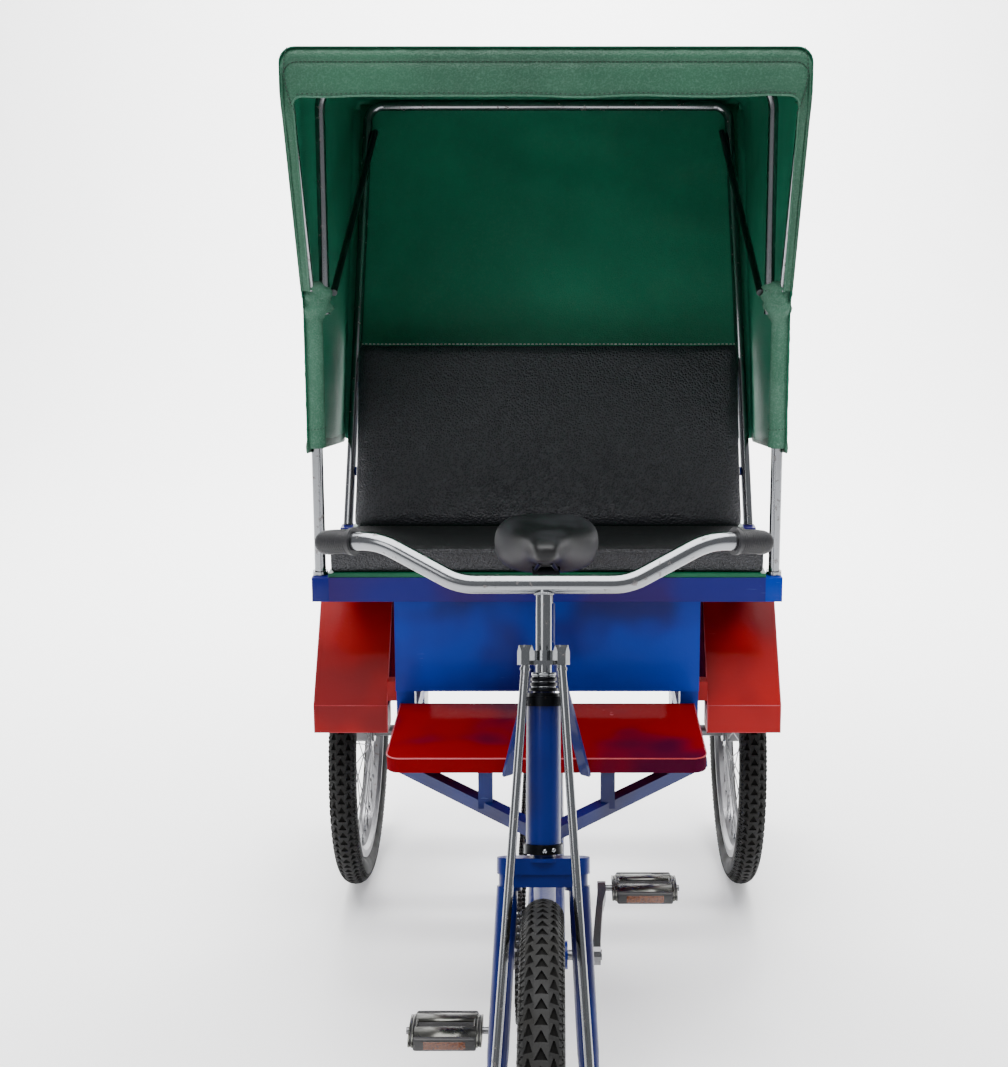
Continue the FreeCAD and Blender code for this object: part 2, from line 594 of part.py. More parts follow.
# The rider's frame: head tube, top tube, down tube, seat tube and crank shell
def make_main_frame():
    head_length = along_axis(HEAD_TUBE_BOTTOM, HEAD_TUBE_TOP)
    head = on_axis(Part.makeCylinder(HEAD_TUBE_RADIUS, head_length), HEAD_TUBE_BOTTOM)
    bore = on_axis(Part.makeCylinder(STEERER_RADIUS + 3.0, head_length + 20.0, Vector(0, 0, -10.0)),
                   HEAD_TUBE_BOTTOM)
    crank_axle = Vector(0, CRANK_AXLE_Y, CRANK_AXLE_Z)
    top_tube_head = HEAD_TUBE_TOP - 34.0
    top_tube_seat = SEAT_TUBE_TOP - 68.0
    top_tube = rod(Vector(0, axis_y(top_tube_head), top_tube_head),
                   Vector(0, seat_tube_y(top_tube_seat), top_tube_seat), TOP_TUBE_RADIUS)
    down_head = HEAD_TUBE_BOTTOM + 38.0
    down_tube = rod(Vector(0, axis_y(down_head), down_head), crank_axle, DOWN_TUBE_RADIUS)
    seat_tube = rod(crank_axle, Vector(0, seat_tube_y(SEAT_TUBE_TOP), SEAT_TUBE_TOP), SEAT_TUBE_RADIUS)
    half_shell = CRANK_SHELL_WIDTH / 2.0
    shell = across(CRANK_SHELL_RADIUS, -half_shell, half_shell, CRANK_AXLE_Y, CRANK_AXLE_Z)
    frame = fuse([head, top_tube, down_tube, seat_tube, shell])
    frame = frame.cut(bore)
    frame = frame.cut(across(SPINDLE_RADIUS + RUNNING, -BORE_REACH, BORE_REACH, CRANK_AXLE_Y, CRANK_AXLE_Z))
    socket_foot = SEAT_TUBE_TOP - SEAT_POST_DEPTH - 2.0
    socket = rod(Vector(0, seat_tube_y(socket_foot), socket_foot),
                 Vector(0, seat_tube_y(SEAT_TUBE_TOP + 10.0), SEAT_TUBE_TOP + 10.0), SEAT_POST_RADIUS + FIT)
    parts["main_frame"] = frame.cut(socket)

    lower_cup = Part.makeCylinder(CUP_RADIUS, CUP_HEIGHT - GAP, Vector(0, 0, -CUP_HEIGHT))
    lower_cup = lower_cup.cut(Part.makeCylinder(STEERER_RADIUS + RUNNING, 60.0, Vector(0, 0, -30.0)))
    parts["headset_lower"] = on_axis(lower_cup, HEAD_TUBE_BOTTOM)
    upper_cup = Part.makeCylinder(CUP_RADIUS, CUP_HEIGHT, Vector(0, 0, 0))
    upper_cup = upper_cup.fuse(Part.makeCylinder(CUP_RADIUS - 4.0, CUP_HEIGHT + 5.0, Vector(0, 0, 0)))
    upper_cup = upper_cup.cut(Part.makeCylinder(STEERER_RADIUS + RUNNING, 60.0, Vector(0, 0, -10.0)))
    parts["headset_upper"] = on_axis(upper_cup, HEAD_TUBE_TOP)
    nut_base = HEAD_TUBE_TOP + CUP_HEIGHT + 6.0
    nut = Part.makeCylinder(CUP_RADIUS - 5.0, LOCK_NUT_HEIGHT, Vector(0, 0, 0))
    nut = nut.cut(Part.makeCylinder(STEERER_RADIUS + FIT, 80.0, Vector(0, 0, -10.0)))
    parts["lock_nut"] = on_axis(nut, nut_base)


def make_lower_stays():
    """Two stays from the crank shell back to the bearing in the middle of the rear axle."""
    block_front = WHEELBASE - BEARING_RADIUS
    start_y = CRANK_AXLE_Y + CRANK_SHELL_RADIUS
    pieces = []
    for side in (-1.0, 1.0):
        x = side * LOWER_STAY_OFFSET
        pieces.append(rod(Vector(x, start_y - 8.0, CRANK_AXLE_Z), Vector(x, block_front + 8.0, WHEEL_RADIUS),
                          LOWER_STAY_RADIUS))
    half = LOWER_STAY_OFFSET + LOWER_STAY_RADIUS - 2.0
    pieces.append(across(BEARING_RADIUS, -half, half, WHEELBASE, WHEEL_RADIUS))
    stays = fuse(pieces)
    stays = stays.cut(across(REAR_AXLE_RADIUS + RUNNING, -BORE_REACH, BORE_REACH, WHEELBASE, WHEEL_RADIUS))
    shell = across(CRANK_SHELL_RADIUS + WELD, -BORE_REACH, BORE_REACH, CRANK_AXLE_Y, CRANK_AXLE_Z)
    parts["lower_stays"] = stays.cut(shell)


def make_frame_arms():
    """A square spine behind the seat tube, an arm to each chassis rail, and a stub under the footboard."""
    spine_start = seat_tube_y(SPINE_HEIGHT)
    spine_end = spine_start + SPINE_LENGTH
    half = SPINE_SIZE / 2.0
    spine = box(-half, half, spine_start, spine_end, SPINE_HEIGHT - half, SPINE_HEIGHT + half)
    seat_tube = rod(Vector(0, CRANK_AXLE_Y, CRANK_AXLE_Z),
                    Vector(0, seat_tube_y(SEAT_TUBE_TOP), SEAT_TUBE_TOP), SEAT_TUBE_RADIUS + WELD)
    rail_inner = (RAIL_SPREAD - RAIL_SIZE) / 2.0
    rail_outer = rail_inner + RAIL_SIZE
    inner = Vector(half - 6.0, spine_end - 30.0, SPINE_HEIGHT)
    outer = Vector(rail_outer, RAIL_FRONT_Y + ARM_LANDING, RAIL_BOTTOM - ARM_SIZE / 3.0)
    arm = square_bar(inner, outer, ARM_SIZE)
    share = (STUB_SPREAD / 2.0 - inner.x) / (outer.x - inner.x)
    meet = inner + (outer - inner) * share
    s = STUB_SIZE / 2.0
    lip_inner = FOOTBOARD_TOP - SHEET - GAP
    stub = box(meet.x - s, meet.x + s, meet.y - s, meet.y + s, meet.z, lip_inner)
    rail = box(rail_inner - GAP, rail_outer + ARM_SIZE, 0.0, WHEELBASE, RAIL_BOTTOM - GAP, FOOTBOARD_TOP)
    arm = fuse([arm, stub]).cut(rail)
    parts["frame_arms"] = fuse([spine, arm, mirrored(arm)]).cut(seat_tube)


def make_flat_stays():
    """Flat bars from a collar on the seat tube down to the footboard's front lip."""
    z = SEAT_TUBE_TOP - 103.0
    foot_z = FOOTBOARD_TOP - 30.0
    foot = Vector(FLAT_STAY_SPREAD / 2.0, FOOTBOARD_FRONT_Y - 3.0 - GAP, foot_z)
    head = Vector(SEAT_TUBE_RADIUS + 4.0, seat_tube_y(z), z)
    bar = square_bar(foot, head, 20.0, 6.0)
    lean = Vector(0, SEAT_LEAN, 1).normalize()
    centre = Vector(0, seat_tube_y(z), z)
    collar = rod(centre - lean * 16.0, centre + lean * 16.0, SEAT_TUBE_RADIUS + 6.0)
    stays = fuse([collar, bar, mirrored(bar)])
    stays = stays.cut(rod(centre - lean * 60.0, centre + lean * 60.0, SEAT_TUBE_RADIUS + WELD))
    board = box(-FLAT_STAY_SPREAD, FLAT_STAY_SPREAD, FOOTBOARD_FRONT_Y - GAP, FOOTBOARD_BACK_Y, RAIL_BOTTOM,
                FOOTBOARD_TOP + 1.0)
    parts["flat_stays"] = stays.cut(board)


# The passenger chassis
def make_chassis():
    inner = (RAIL_SPREAD - RAIL_SIZE) / 2.0
    outer = inner + RAIL_SIZE
    front_upright = box(inner, outer, UPRIGHT_FRONT_Y, UPRIGHT_FRONT_Y + RAIL_SIZE, RAIL_TOP,
                        SEAT_RAIL_TOP - SEAT_RAIL_DEPTH - GAP)
    back_upright = box(inner, outer, UPRIGHT_BACK_Y, UPRIGHT_BACK_Y + RAIL_SIZE, RAIL_TOP,
                       SEAT_RAIL_TOP - SEAT_RAIL_DEPTH - GAP)
    tail_upright = box(inner, outer, RAIL_BACK_Y - RAIL_SIZE, RAIL_BACK_Y, RAIL_TOP, MUDGUARD_LIP_TOP + 90.0)
    rail = box(inner, outer, RAIL_FRONT_Y, RAIL_BACK_Y, RAIL_BOTTOM, RAIL_TOP)
    side = fuse([rail, front_upright, back_upright, tail_upright])
    parts["chassis_left"] = side
    parts["chassis_right"] = mirrored(side)
    bars = [
        box(-inner, inner, y, y + RAIL_SIZE, RAIL_BOTTOM, RAIL_TOP)
        for y in (UPRIGHT_FRONT_Y, UPRIGHT_BACK_Y, RAIL_BACK_Y - RAIL_SIZE)
    ]
    parts["cross_members"] = Part.makeCompound(bars)

    half = RAIL_SPREAD / 2.0
    hanger = side_plate(
        [(WHEELBASE - 70.0, RAIL_BOTTOM), (WHEELBASE + 70.0, RAIL_BOTTOM),
         (WHEELBASE + BEARING_RADIUS, WHEEL_RADIUS), (WHEELBASE - BEARING_RADIUS, WHEEL_RADIUS)],
        half - HANGER_THICKNESS / 2.0, half + HANGER_THICKNESS / 2.0)
    housing = across(BEARING_RADIUS, half - 18.0, half + 18.0, WHEELBASE, WHEEL_RADIUS)
    pad = box(half - 18.0, half + 18.0, WHEELBASE - 70.0, WHEELBASE + 70.0, RAIL_BOTTOM - 6.0, RAIL_BOTTOM)
    hanger = fuse([hanger, housing, pad])
    hanger = hanger.cut(across(REAR_AXLE_RADIUS + RUNNING, 0.0, BEYOND, WHEELBASE, WHEEL_RADIUS))
    parts["axle_hanger_left"] = hanger
    parts["axle_hanger_right"] = mirrored(hanger)


def make_seat_frame():
    half = SEAT_RAIL_WIDTH / 2.0
    low = SEAT_RAIL_TOP - SEAT_RAIL_DEPTH
    front = box(-half, half, SEAT_FRONT_Y, SEAT_FRONT_Y + RAIL_SIZE, low, RAIL_FACE)
    inner = half - RAIL_SIZE
    side = box(inner - RAIL_SIZE, inner, SEAT_FRONT_Y, SEAT_BACK_Y, low, RAIL_FACE)
    middle = box(-inner, inner, UPRIGHT_FRONT_Y, UPRIGHT_FRONT_Y + RAIL_SIZE, low, RAIL_FACE)
    back = box(-half, half, UPRIGHT_BACK_Y, UPRIGHT_BACK_Y + RAIL_SIZE, low, RAIL_FACE)
    parts["seat_frame"] = fuse([front, side, mirrored(side), middle, back])


def make_apron():
    """A pressed sheet under the seat's front rail, folded back at its sides and foot."""
    half = APRON_WIDTH / 2.0
    top = SEAT_RAIL_TOP - SEAT_RAIL_DEPTH - GAP
    face_y = SEAT_FRONT_Y + 24.0
    back = UPRIGHT_FRONT_Y - GAP
    sheet = box(-half, half, face_y, face_y + SHEET, APRON_BOTTOM, top)
    side = box(half - SHEET, half, face_y, back, APRON_BOTTOM, top)
    foot = box(-half, half, face_y, back, APRON_BOTTOM, APRON_BOTTOM + SHEET)
    parts["apron"] = fuse([sheet, side, mirrored(side), foot])


def make_footboard():
    """A pressed tray turned over: top sheet with a lip all round and rounded front corners."""
    half = FOOTBOARD_WIDTH / 2.0
    low = RAIL_TOP + GAP
    tray = box(-half, half, FOOTBOARD_FRONT_Y, FOOTBOARD_BACK_Y, low, FOOTBOARD_TOP)
    corners = [e for e in tray.Edges
               if abs(e.Length - (FOOTBOARD_TOP - low)) < 0.01 and e.CenterOfMass.y < FOOTBOARD_FRONT_Y + 1.0]
    tray = tray.makeFillet(FOOTBOARD_CORNER, corners)
    hollow = box(-half + SHEET, half - SHEET, FOOTBOARD_FRONT_Y + SHEET, FOOTBOARD_BACK_Y - SHEET, low - 1.0,
                 FOOTBOARD_TOP - SHEET)
    corners = [e for e in hollow.Edges
               if abs(e.Length - (FOOTBOARD_TOP - SHEET - low + 1.0)) < 0.01
               and e.CenterOfMass.y < FOOTBOARD_FRONT_Y + SHEET + 1.0]
    hollow = hollow.makeFillet(FOOTBOARD_CORNER - SHEET, corners)
    parts["footboard"] = tray.cut(hollow)


def mudguard():
    """Bent sheet over the wheel: lip, slope, flat top, slope, lip, with a skirt down each side."""
    y0, y1 = MUDGUARD_FRONT_Y, MUDGUARD_BACK_Y
    f0, f1 = WHEELBASE - MUDGUARD_FLAT, WHEELBASE + MUDGUARD_FLAT
    rise = (MUDGUARD_TOP - MUDGUARD_LIP_TOP) / (f0 - y0)
    skew = math.sqrt(1.0 + rise * rise)

    def outline(inset, lip):
        """The guard's side outline, moved in by a distance, down to a lip height."""
        drop = inset * skew
        return [
            (y0 + inset, lip), (y0 + inset, MUDGUARD_LIP_TOP + rise * inset - drop),
            (f0 + (drop - inset) / rise, MUDGUARD_TOP - inset),
            (f1 - (drop - inset) / rise, MUDGUARD_TOP - inset),
            (y1 - inset, MUDGUARD_LIP_TOP + rise * inset - drop), (y1 - inset, lip),
        ]

    outer = side_plate(outline(0.0, MUDGUARD_LIP_BOTTOM), MUDGUARD_INNER, MUDGUARD_OUTER)
    hollow = side_plate(outline(SHEET, MUDGUARD_LIP_BOTTOM - 1.0), MUDGUARD_INNER + SHEET,
                        MUDGUARD_OUTER - SHEET)
    below = side_plate(outline(MUDGUARD_SKIRT, MUDGUARD_LIP_BOTTOM - 1.0), MUDGUARD_INNER - 1.0,
                       MUDGUARD_OUTER + 1.0)
    return outer.cut(hollow).cut(below)


def make_mudguards():
    guard = mudguard()
    parts["mudguard_left"] = guard
    parts["mudguard_right"] = mirrored(guard)
    chassis_side = (RAIL_SPREAD + RAIL_SIZE) / 2.0
    front_pad = box(chassis_side, MUDGUARD_INNER, UPRIGHT_FRONT_Y + 4.0, UPRIGHT_FRONT_Y + 32.0,
                    MUDGUARD_LIP_TOP + 10.0, MUDGUARD_LIP_TOP + 50.0)
    back_pad = box(chassis_side, MUDGUARD_INNER, RAIL_BACK_Y - 32.0, RAIL_BACK_Y - 4.0,
                   MUDGUARD_LIP_TOP + 40.0, MUDGUARD_LIP_TOP + 80.0)
    side_rail = SEAT_RAIL_WIDTH / 2.0 - RAIL_SIZE
    hangers = []
    for y in (WHEELBASE - 180.0, WHEELBASE - 40.0):
        hangers.append(box(side_rail - RAIL_SIZE + 4.0, side_rail - 4.0, y, y + 30.0,
                           MUDGUARD_TOP + GAP, SEAT_RAIL_TOP - SEAT_RAIL_DEPTH - GAP))
    pieces = [front_pad, back_pad] + hangers
    parts["mudguard_brackets"] = Part.makeCompound(pieces + [mirrored(p) for p in pieces])


# Seat: board, cushion and backrest
def make_seat():
    half = CUSHION_WIDTH / 2.0
    low = RAIL_FACE + GAP
    board_back = HOOP_FOOT_Y - POST_RADIUS - 10.0
    board = box(-half, half, SEAT_FRONT_Y + 2.0, board_back, low, low + BOARD_THICKNESS)
    parts["seat_board"] = board
    seat_low = low + BOARD_THICKNESS + GAP
    front = SEAT_FRONT_Y + 2.0
    cushion = side_plate([(front, seat_low), (CUSHION_BACK_Y, seat_low), (CUSHION_BACK_Y, CUSHION_BACK_TOP),
                          (front, CUSHION_FRONT_TOP)], -half, half)
    rims = [e for e in cushion.Edges if e.CenterOfMass.z > seat_low + 6.0 or e.Length < 60.0]
    rims = [e for e in rims if abs(e.CenterOfMass.z - seat_low) > 5.0]
    parts["seat_cushion"] = cushion.makeFillet(9.0, rims)

    foot_z = seat_low + 4.0
    face_y = CUSHION_BACK_Y + GAP + 1.0
    lean = math.radians(BACK_LEAN)
    length = (BACKREST_TOP - foot_z) / math.cos(lean)
    pad = Part.makeBox(BACKREST_WIDTH, BACKREST_THICKNESS, length, Vector(-BACKREST_WIDTH / 2.0, 0, 0))
    pad = pad.makeFillet(12.0, [e for e in pad.Edges if e.CenterOfMass.y < 1.0])
    pad.rotate(Vector(0, 0, 0), X_AXIS, -BACK_LEAN)
    pad.translate(Vector(0, face_y, foot_z + BACKREST_THICKNESS * math.sin(lean)))
    parts["backrest"] = pad
    return face_y, foot_z + BACKREST_THICKNESS * math.sin(lean)


def make_back_bars(face_y, foot_z):
    """Two bars across the rear hoop, each with blocks that the backrest is screwed to."""
    lean = math.radians(BACK_LEAN)
    reach = BACKREST_THICKNESS / math.cos(lean)
    pieces = []
    for z in (SEAT_RAIL_TOP + 110.0, BACKREST_TOP - 60.0):
        half = hoop_half(z) - POST_RADIUS - GAP
        y = hoop_y(z)
        bar = across(POST_RADIUS - 1.0, -half, half, y, z)
        back_face = face_y + (z - foot_z) * BACK_SLOPE + reach + GAP
        blocks = [bar]
        for x in (-half * 0.6, half * 0.6):
            blocks.append(side_plate([(back_face - 14.0 * BACK_SLOPE, z - 14.0), (y, z - 14.0), (y, z + 14.0),
                                      (back_face + 14.0 * BACK_SLOPE, z + 14.0)], x - 15.0, x + 15.0))
        pieces.append(fuse(blocks))
    parts["back_bars"] = Part.makeCompound(pieces)


# Saddle on its post
def saddle_ring(y, half_width, top, bottom):
    """One cross outline of the saddle: a crowned top, full rounded sides and a narrower foot."""
    height = top - bottom
    spline = Part.BSplineCurve()
    half = ((0.0, 0.0), (0.6, 0.05), (1.0, 0.5), (0.74, 0.96), (0.0, 0.9))
    other_half = [(-across_share, down_share) for across_share, down_share in half[3:0:-1]]
    spline.interpolate([Vector(half_width * a, y, top - height * d) for a, d in (*half, *other_half)],
                       PeriodicFlag=True)
    return Part.Wire(spline.toShape())


def make_saddle():
    nose_y = SADDLE_TAIL_Y - SADDLE_LENGTH
    half = SADDLE_WIDTH / 2.0
    outline = (
        (0.0, 0.18, 3.0, 32.0), (0.1, 0.26, -3.0, 42.0), (0.36, 0.44, 2.0, 60.0), (0.6, 0.84, 4.0, 92.0),
        (0.82, 1.0, 0.0, 108.0), (0.94, 0.93, 3.0, 104.0), (1.0, 0.74, 14.0, 88.0),
    )
    rings = []
    rooms = []
    for share, width, drop, foot in outline:
        y = nose_y + share * SADDLE_LENGTH
        rings.append(saddle_ring(y, width * half, SADDLE_TOP - drop, SADDLE_TOP - foot))
        if 0.3 < share < 0.99:
            rooms.append(saddle_ring(y, width * half - SADDLE_WALL, SADDLE_TOP - drop - SADDLE_PAD,
                                     SADDLE_TOP - foot - SADDLE_PAD))
    shell = Part.makeLoft(rings, True, False)
    parts["saddle"] = shell.cut(Part.makeLoft(rooms, True, False))

    def post_point(z):
        return Vector(0, seat_tube_y(z), z)

    foot = post_point(SEAT_TUBE_TOP - SEAT_POST_DEPTH)
    head = post_point(SEAT_TUBE_TOP + SEAT_POST_RISE)
    parts["seat_post"] = rod(foot, head, SEAT_POST_RADIUS)
    rail_z = head.z - SADDLE_RAIL_RADIUS
    roof = SADDLE_TOP - SADDLE_PAD + 2.0
    pieces = [across(16.0, -24.0, 24.0, head.y, rail_z)]
    for side in (-1.0, 1.0):
        front = Vector(side * 9.0, nose_y + 34.0, SADDLE_TOP - 42.0)
        hold = Vector(side * 20.0, head.y, rail_z)
        rear = Vector(side * 46.0, head.y + 92.0, rail_z - 2.0)
        pieces.append(rod(front, hold, SADDLE_RAIL_RADIUS))
        pieces.append(rod(hold, rear, SADDLE_RAIL_RADIUS))
        pieces.append(Part.makeSphere(SADDLE_RAIL_RADIUS, hold))
        spring_z = rail_z - SADDLE_RAIL_RADIUS
        pieces.append(Part.makeCylinder(12.0, roof - spring_z, Vector(side * 48.0, rear.y - 4.0, spring_z)))
    springs = fuse(pieces).cut(rod(foot, head, SEAT_POST_RADIUS + WELD))
    parts["saddle_springs"] = springs.cut(parts["saddle"])


# Cranks, chainring, pedals and chain
def crank_inner(side):
    """The inner face of a crank arm: the one beside the chain sits closer in."""
    return CRANK_INNER_FAR if side > 0 else CRANK_INNER


def pedal_inner(side):
    """Where a pedal's body begins, clear of the arm's outer face."""
    return crank_inner(side) + CRANK_DISH + CRANK_THICKNESS + PEDAL_GAP


def crank_arm(side):
    """A forged arm: wide at the spindle, narrow at the pedal, and dished outwards on its way there."""
    flat = []
    for radius, centre, begin in ((CRANK_BOSS, 0.0, 90.0), (CRANK_EYE, CRANK_LENGTH, -90.0)):
        for k in range(7):
            angle = math.radians(begin + 30.0 * k)
            flat.append((centre + radius * math.cos(angle), radius * math.sin(angle)))
    inner, thick, dish = crank_inner(side), CRANK_THICKNESS, CRANK_DISH
    far = CRANK_LENGTH + CRANK_EYE + 1.0
    edge = [
        (-CRANK_BOSS - 1.0, 0.0), (CRANK_BOSS, 0.0), (0.45 * CRANK_LENGTH, 0.4 * dish),
        (0.86 * CRANK_LENGTH, dish), (far, dish), (far, dish + thick), (0.88 * CRANK_LENGTH, dish + thick),
        (0.68 * CRANK_LENGTH, 0.7 * dish + 0.8 * thick), (0.35 * CRANK_LENGTH, 0.3 * dish + 0.8 * thick),
        (CRANK_BOSS - 3.0, 0.85 * thick), (-CRANK_BOSS - 1.0, 0.85 * thick),
    ]
    arm = side_plate(flat, side * inner, side * (inner + dish + thick))
    across_arm = face_of([Vector(side * (inner + x), u, -CRANK_BOSS) for u, x in edge])
    arm = arm.common(across_arm.extrude(Vector(0, 0, 2.0 * CRANK_BOSS)))
    arm.rotate(Vector(0, 0, 0), X_AXIS, CRANK_TILT if side > 0 else CRANK_TILT + 180.0)
    arm.translate(Vector(0, CRANK_AXLE_Y, CRANK_AXLE_Z))
    return arm


def pedal_centre(side):
    reach = side * CRANK_LENGTH
    tilt = math.radians(CRANK_TILT)
    return CRANK_AXLE_Y + reach * math.cos(tilt), CRANK_AXLE_Z + reach * math.sin(tilt)


def make_cranks():
    spindle = across(SPINDLE_RADIUS, -CRANK_INNER - CRANK_THICKNESS, CRANK_INNER_FAR + CRANK_THICKNESS,
                     CRANK_AXLE_Y, CRANK_AXLE_Z)
    ring = toothed_disc(CHAINRING_TEETH, SPROCKET_THICKNESS, 74.0, -CHAIN_LINE, CRANK_AXLE_Y, CRANK_AXLE_Z)
    arms = []
    for k in range(5):
        angle = TWO_PI * k / 5.0
        centre = Vector(-CHAIN_LINE, CRANK_AXLE_Y, CRANK_AXLE_Z)
        out = centre + Vector(0, math.sin(angle), math.cos(angle)) * 78.0
        arms.append(square_bar(centre, out, 14.0, SPROCKET_THICKNESS + 1.0) if abs(angle) > 0.01 else
                    box(-CHAIN_LINE - 1.6, -CHAIN_LINE + 1.6, CRANK_AXLE_Y - 7.0, CRANK_AXLE_Y + 7.0,
                        CRANK_AXLE_Z, CRANK_AXLE_Z + 78.0))
    boss = across(24.0, -CRANK_INNER - 2.0, -CHAIN_LINE + 2.0, CRANK_AXLE_Y, CRANK_AXLE_Z)
    studs = []
    for side in (-1.0, 1.0):
        y, z = pedal_centre(side)
        inner, outer = crank_inner(side) + CRANK_DISH + 2.0, pedal_inner(side) + PEDAL_LENGTH + 4.0
        x0, x1 = sorted((side * inner, side * outer))
        studs.append(across(PEDAL_AXLE_RADIUS, x0, x1, y, z))
    parts["cranks"] = fuse([spindle, ring, boss, crank_arm(1.0), crank_arm(-1.0)] + arms + studs)


def make_pedals():
    for side, name in ((1.0, "pedal_left"), (-1.0, "pedal_right")):
        y, z = pedal_centre(side)
        x0 = pedal_inner(side)
        x1 = x0 + PEDAL_LENGTH
        half = PEDAL_DEPTH / 2.0
        tall = PEDAL_HEIGHT / 2.0
        body = box(x0 + 12.0, x1 - 12.0, y - half, y + half, z - tall, z + tall)
        body = body.makeFillet(10.0, [e for e in body.Edges if abs(e.Length - (PEDAL_LENGTH - 24.0)) < 0.1])
        slots = [
            box(x0 + 10.0, x1 - 10.0, y + s * 24.0 - 9.0, y + s * 24.0 + 9.0, z - 8.0, z + 8.0)
            for s in (-1.0, 1.0)
        ]
        core = across(12.0, x0, x1, y, z)
        ends = [box(x, x + 8.0, y - half + 8.0, y + half - 8.0, z - tall + 4.0, z + tall - 4.0)
                for x in (x0 + 4.0, x1 - 12.0)]
        pedal = fuse([body] + ends).cut(fuse(slots)).fuse(core).removeSplitter()
        pedal = pedal.cut(across(PEDAL_AXLE_RADIUS + RUNNING, x0 - 20.0, x1 + 20.0, y, z))
        if side < 0:
            pedal = pedal.mirror(Vector(0, 0, 0), X_AXIS)
        parts[name] = pedal


def loop_face(x, grow, centres):
    """A face shaped like a belt round two wheels, its outline moved out by grow."""
    (y0, z0, r0), (y1, z1, r1) = centres
    r0, r1 = r0 + grow, r1 + grow
    span = math.hypot(y1 - y0, z1 - z0)
    heading = math.atan2(z1 - z0, y1 - y0)
    open_angle = math.acos((r0 - r1) / span)

    def at(y, z, r, angle):
        return Vector(x, y + r * math.cos(angle), z + r * math.sin(angle))

    a, b = heading + open_angle, heading - open_angle
    edges = [
        Part.Arc(at(y0, z0, r0, a), at(y0, z0, r0, heading + math.pi), at(y0, z0, r0, b)).toShape(),
        Part.LineSegment(at(y0, z0, r0, b), at(y1, z1, r1, b)).toShape(),
        Part.Arc(at(y1, z1, r1, b), at(y1, z1, r1, heading), at(y1, z1, r1, a)).toShape(),
        Part.LineSegment(at(y1, z1, r1, a), at(y0, z0, r0, a)).toShape(),
    ]
    return Part.Face(Part.Wire(edges))


def chain_outline(x, side, centres):
    """The loop's outline on one side of the pins: wide at each pin and narrow between two of them."""
    pitch_line = loop_face(x, 0.0, centres).OuterWire
    count = 4 * round(pitch_line.Length / CHAIN_PITCH / 2.0)
    spots = pitch_line.discretize(Number=count + 1)[:-1]
    points = []
    for i, spot in enumerate(spots):
        along = (spots[(i + 1) % count] - spots[i - 1]).normalize()
        reach = CHAIN_WAIST if i % 2 else CHAIN_HEIGHT
        points.append(spot + along.cross(X_AXIS) * (side * reach / 2.0))
    return face_of(points)


def make_chain():
    """One loop of links with a groove along its inner side, which the teeth run in."""
    ring_radius = CHAIN_PITCH / (2.0 * math.sin(math.pi / CHAINRING_TEETH))
    sprocket_radius = CHAIN_PITCH / (2.0 * math.sin(math.pi / SPROCKET_TEETH))
    centres = ((CRANK_AXLE_Y, CRANK_AXLE_Z, ring_radius), (WHEELBASE, WHEEL_RADIUS, sprocket_radius))
    groove = SPROCKET_THICKNESS / 2.0 + 0.8
    x0 = -CHAIN_LINE - CHAIN_WIDTH / 2.0
    faces = sorted((chain_outline(x0, side, centres) for side in (-1.0, 1.0)), key=lambda face: face.Area)
    band = faces[1].cut(faces[0]).extrude(Vector(CHAIN_WIDTH, 0, 0))
    room = loop_face(-CHAIN_LINE - groove, TOOTH_TIP + RUNNING, centres).extrude(Vector(2.0 * groove, 0, 0))
    parts["chain"] = band.cut(room)


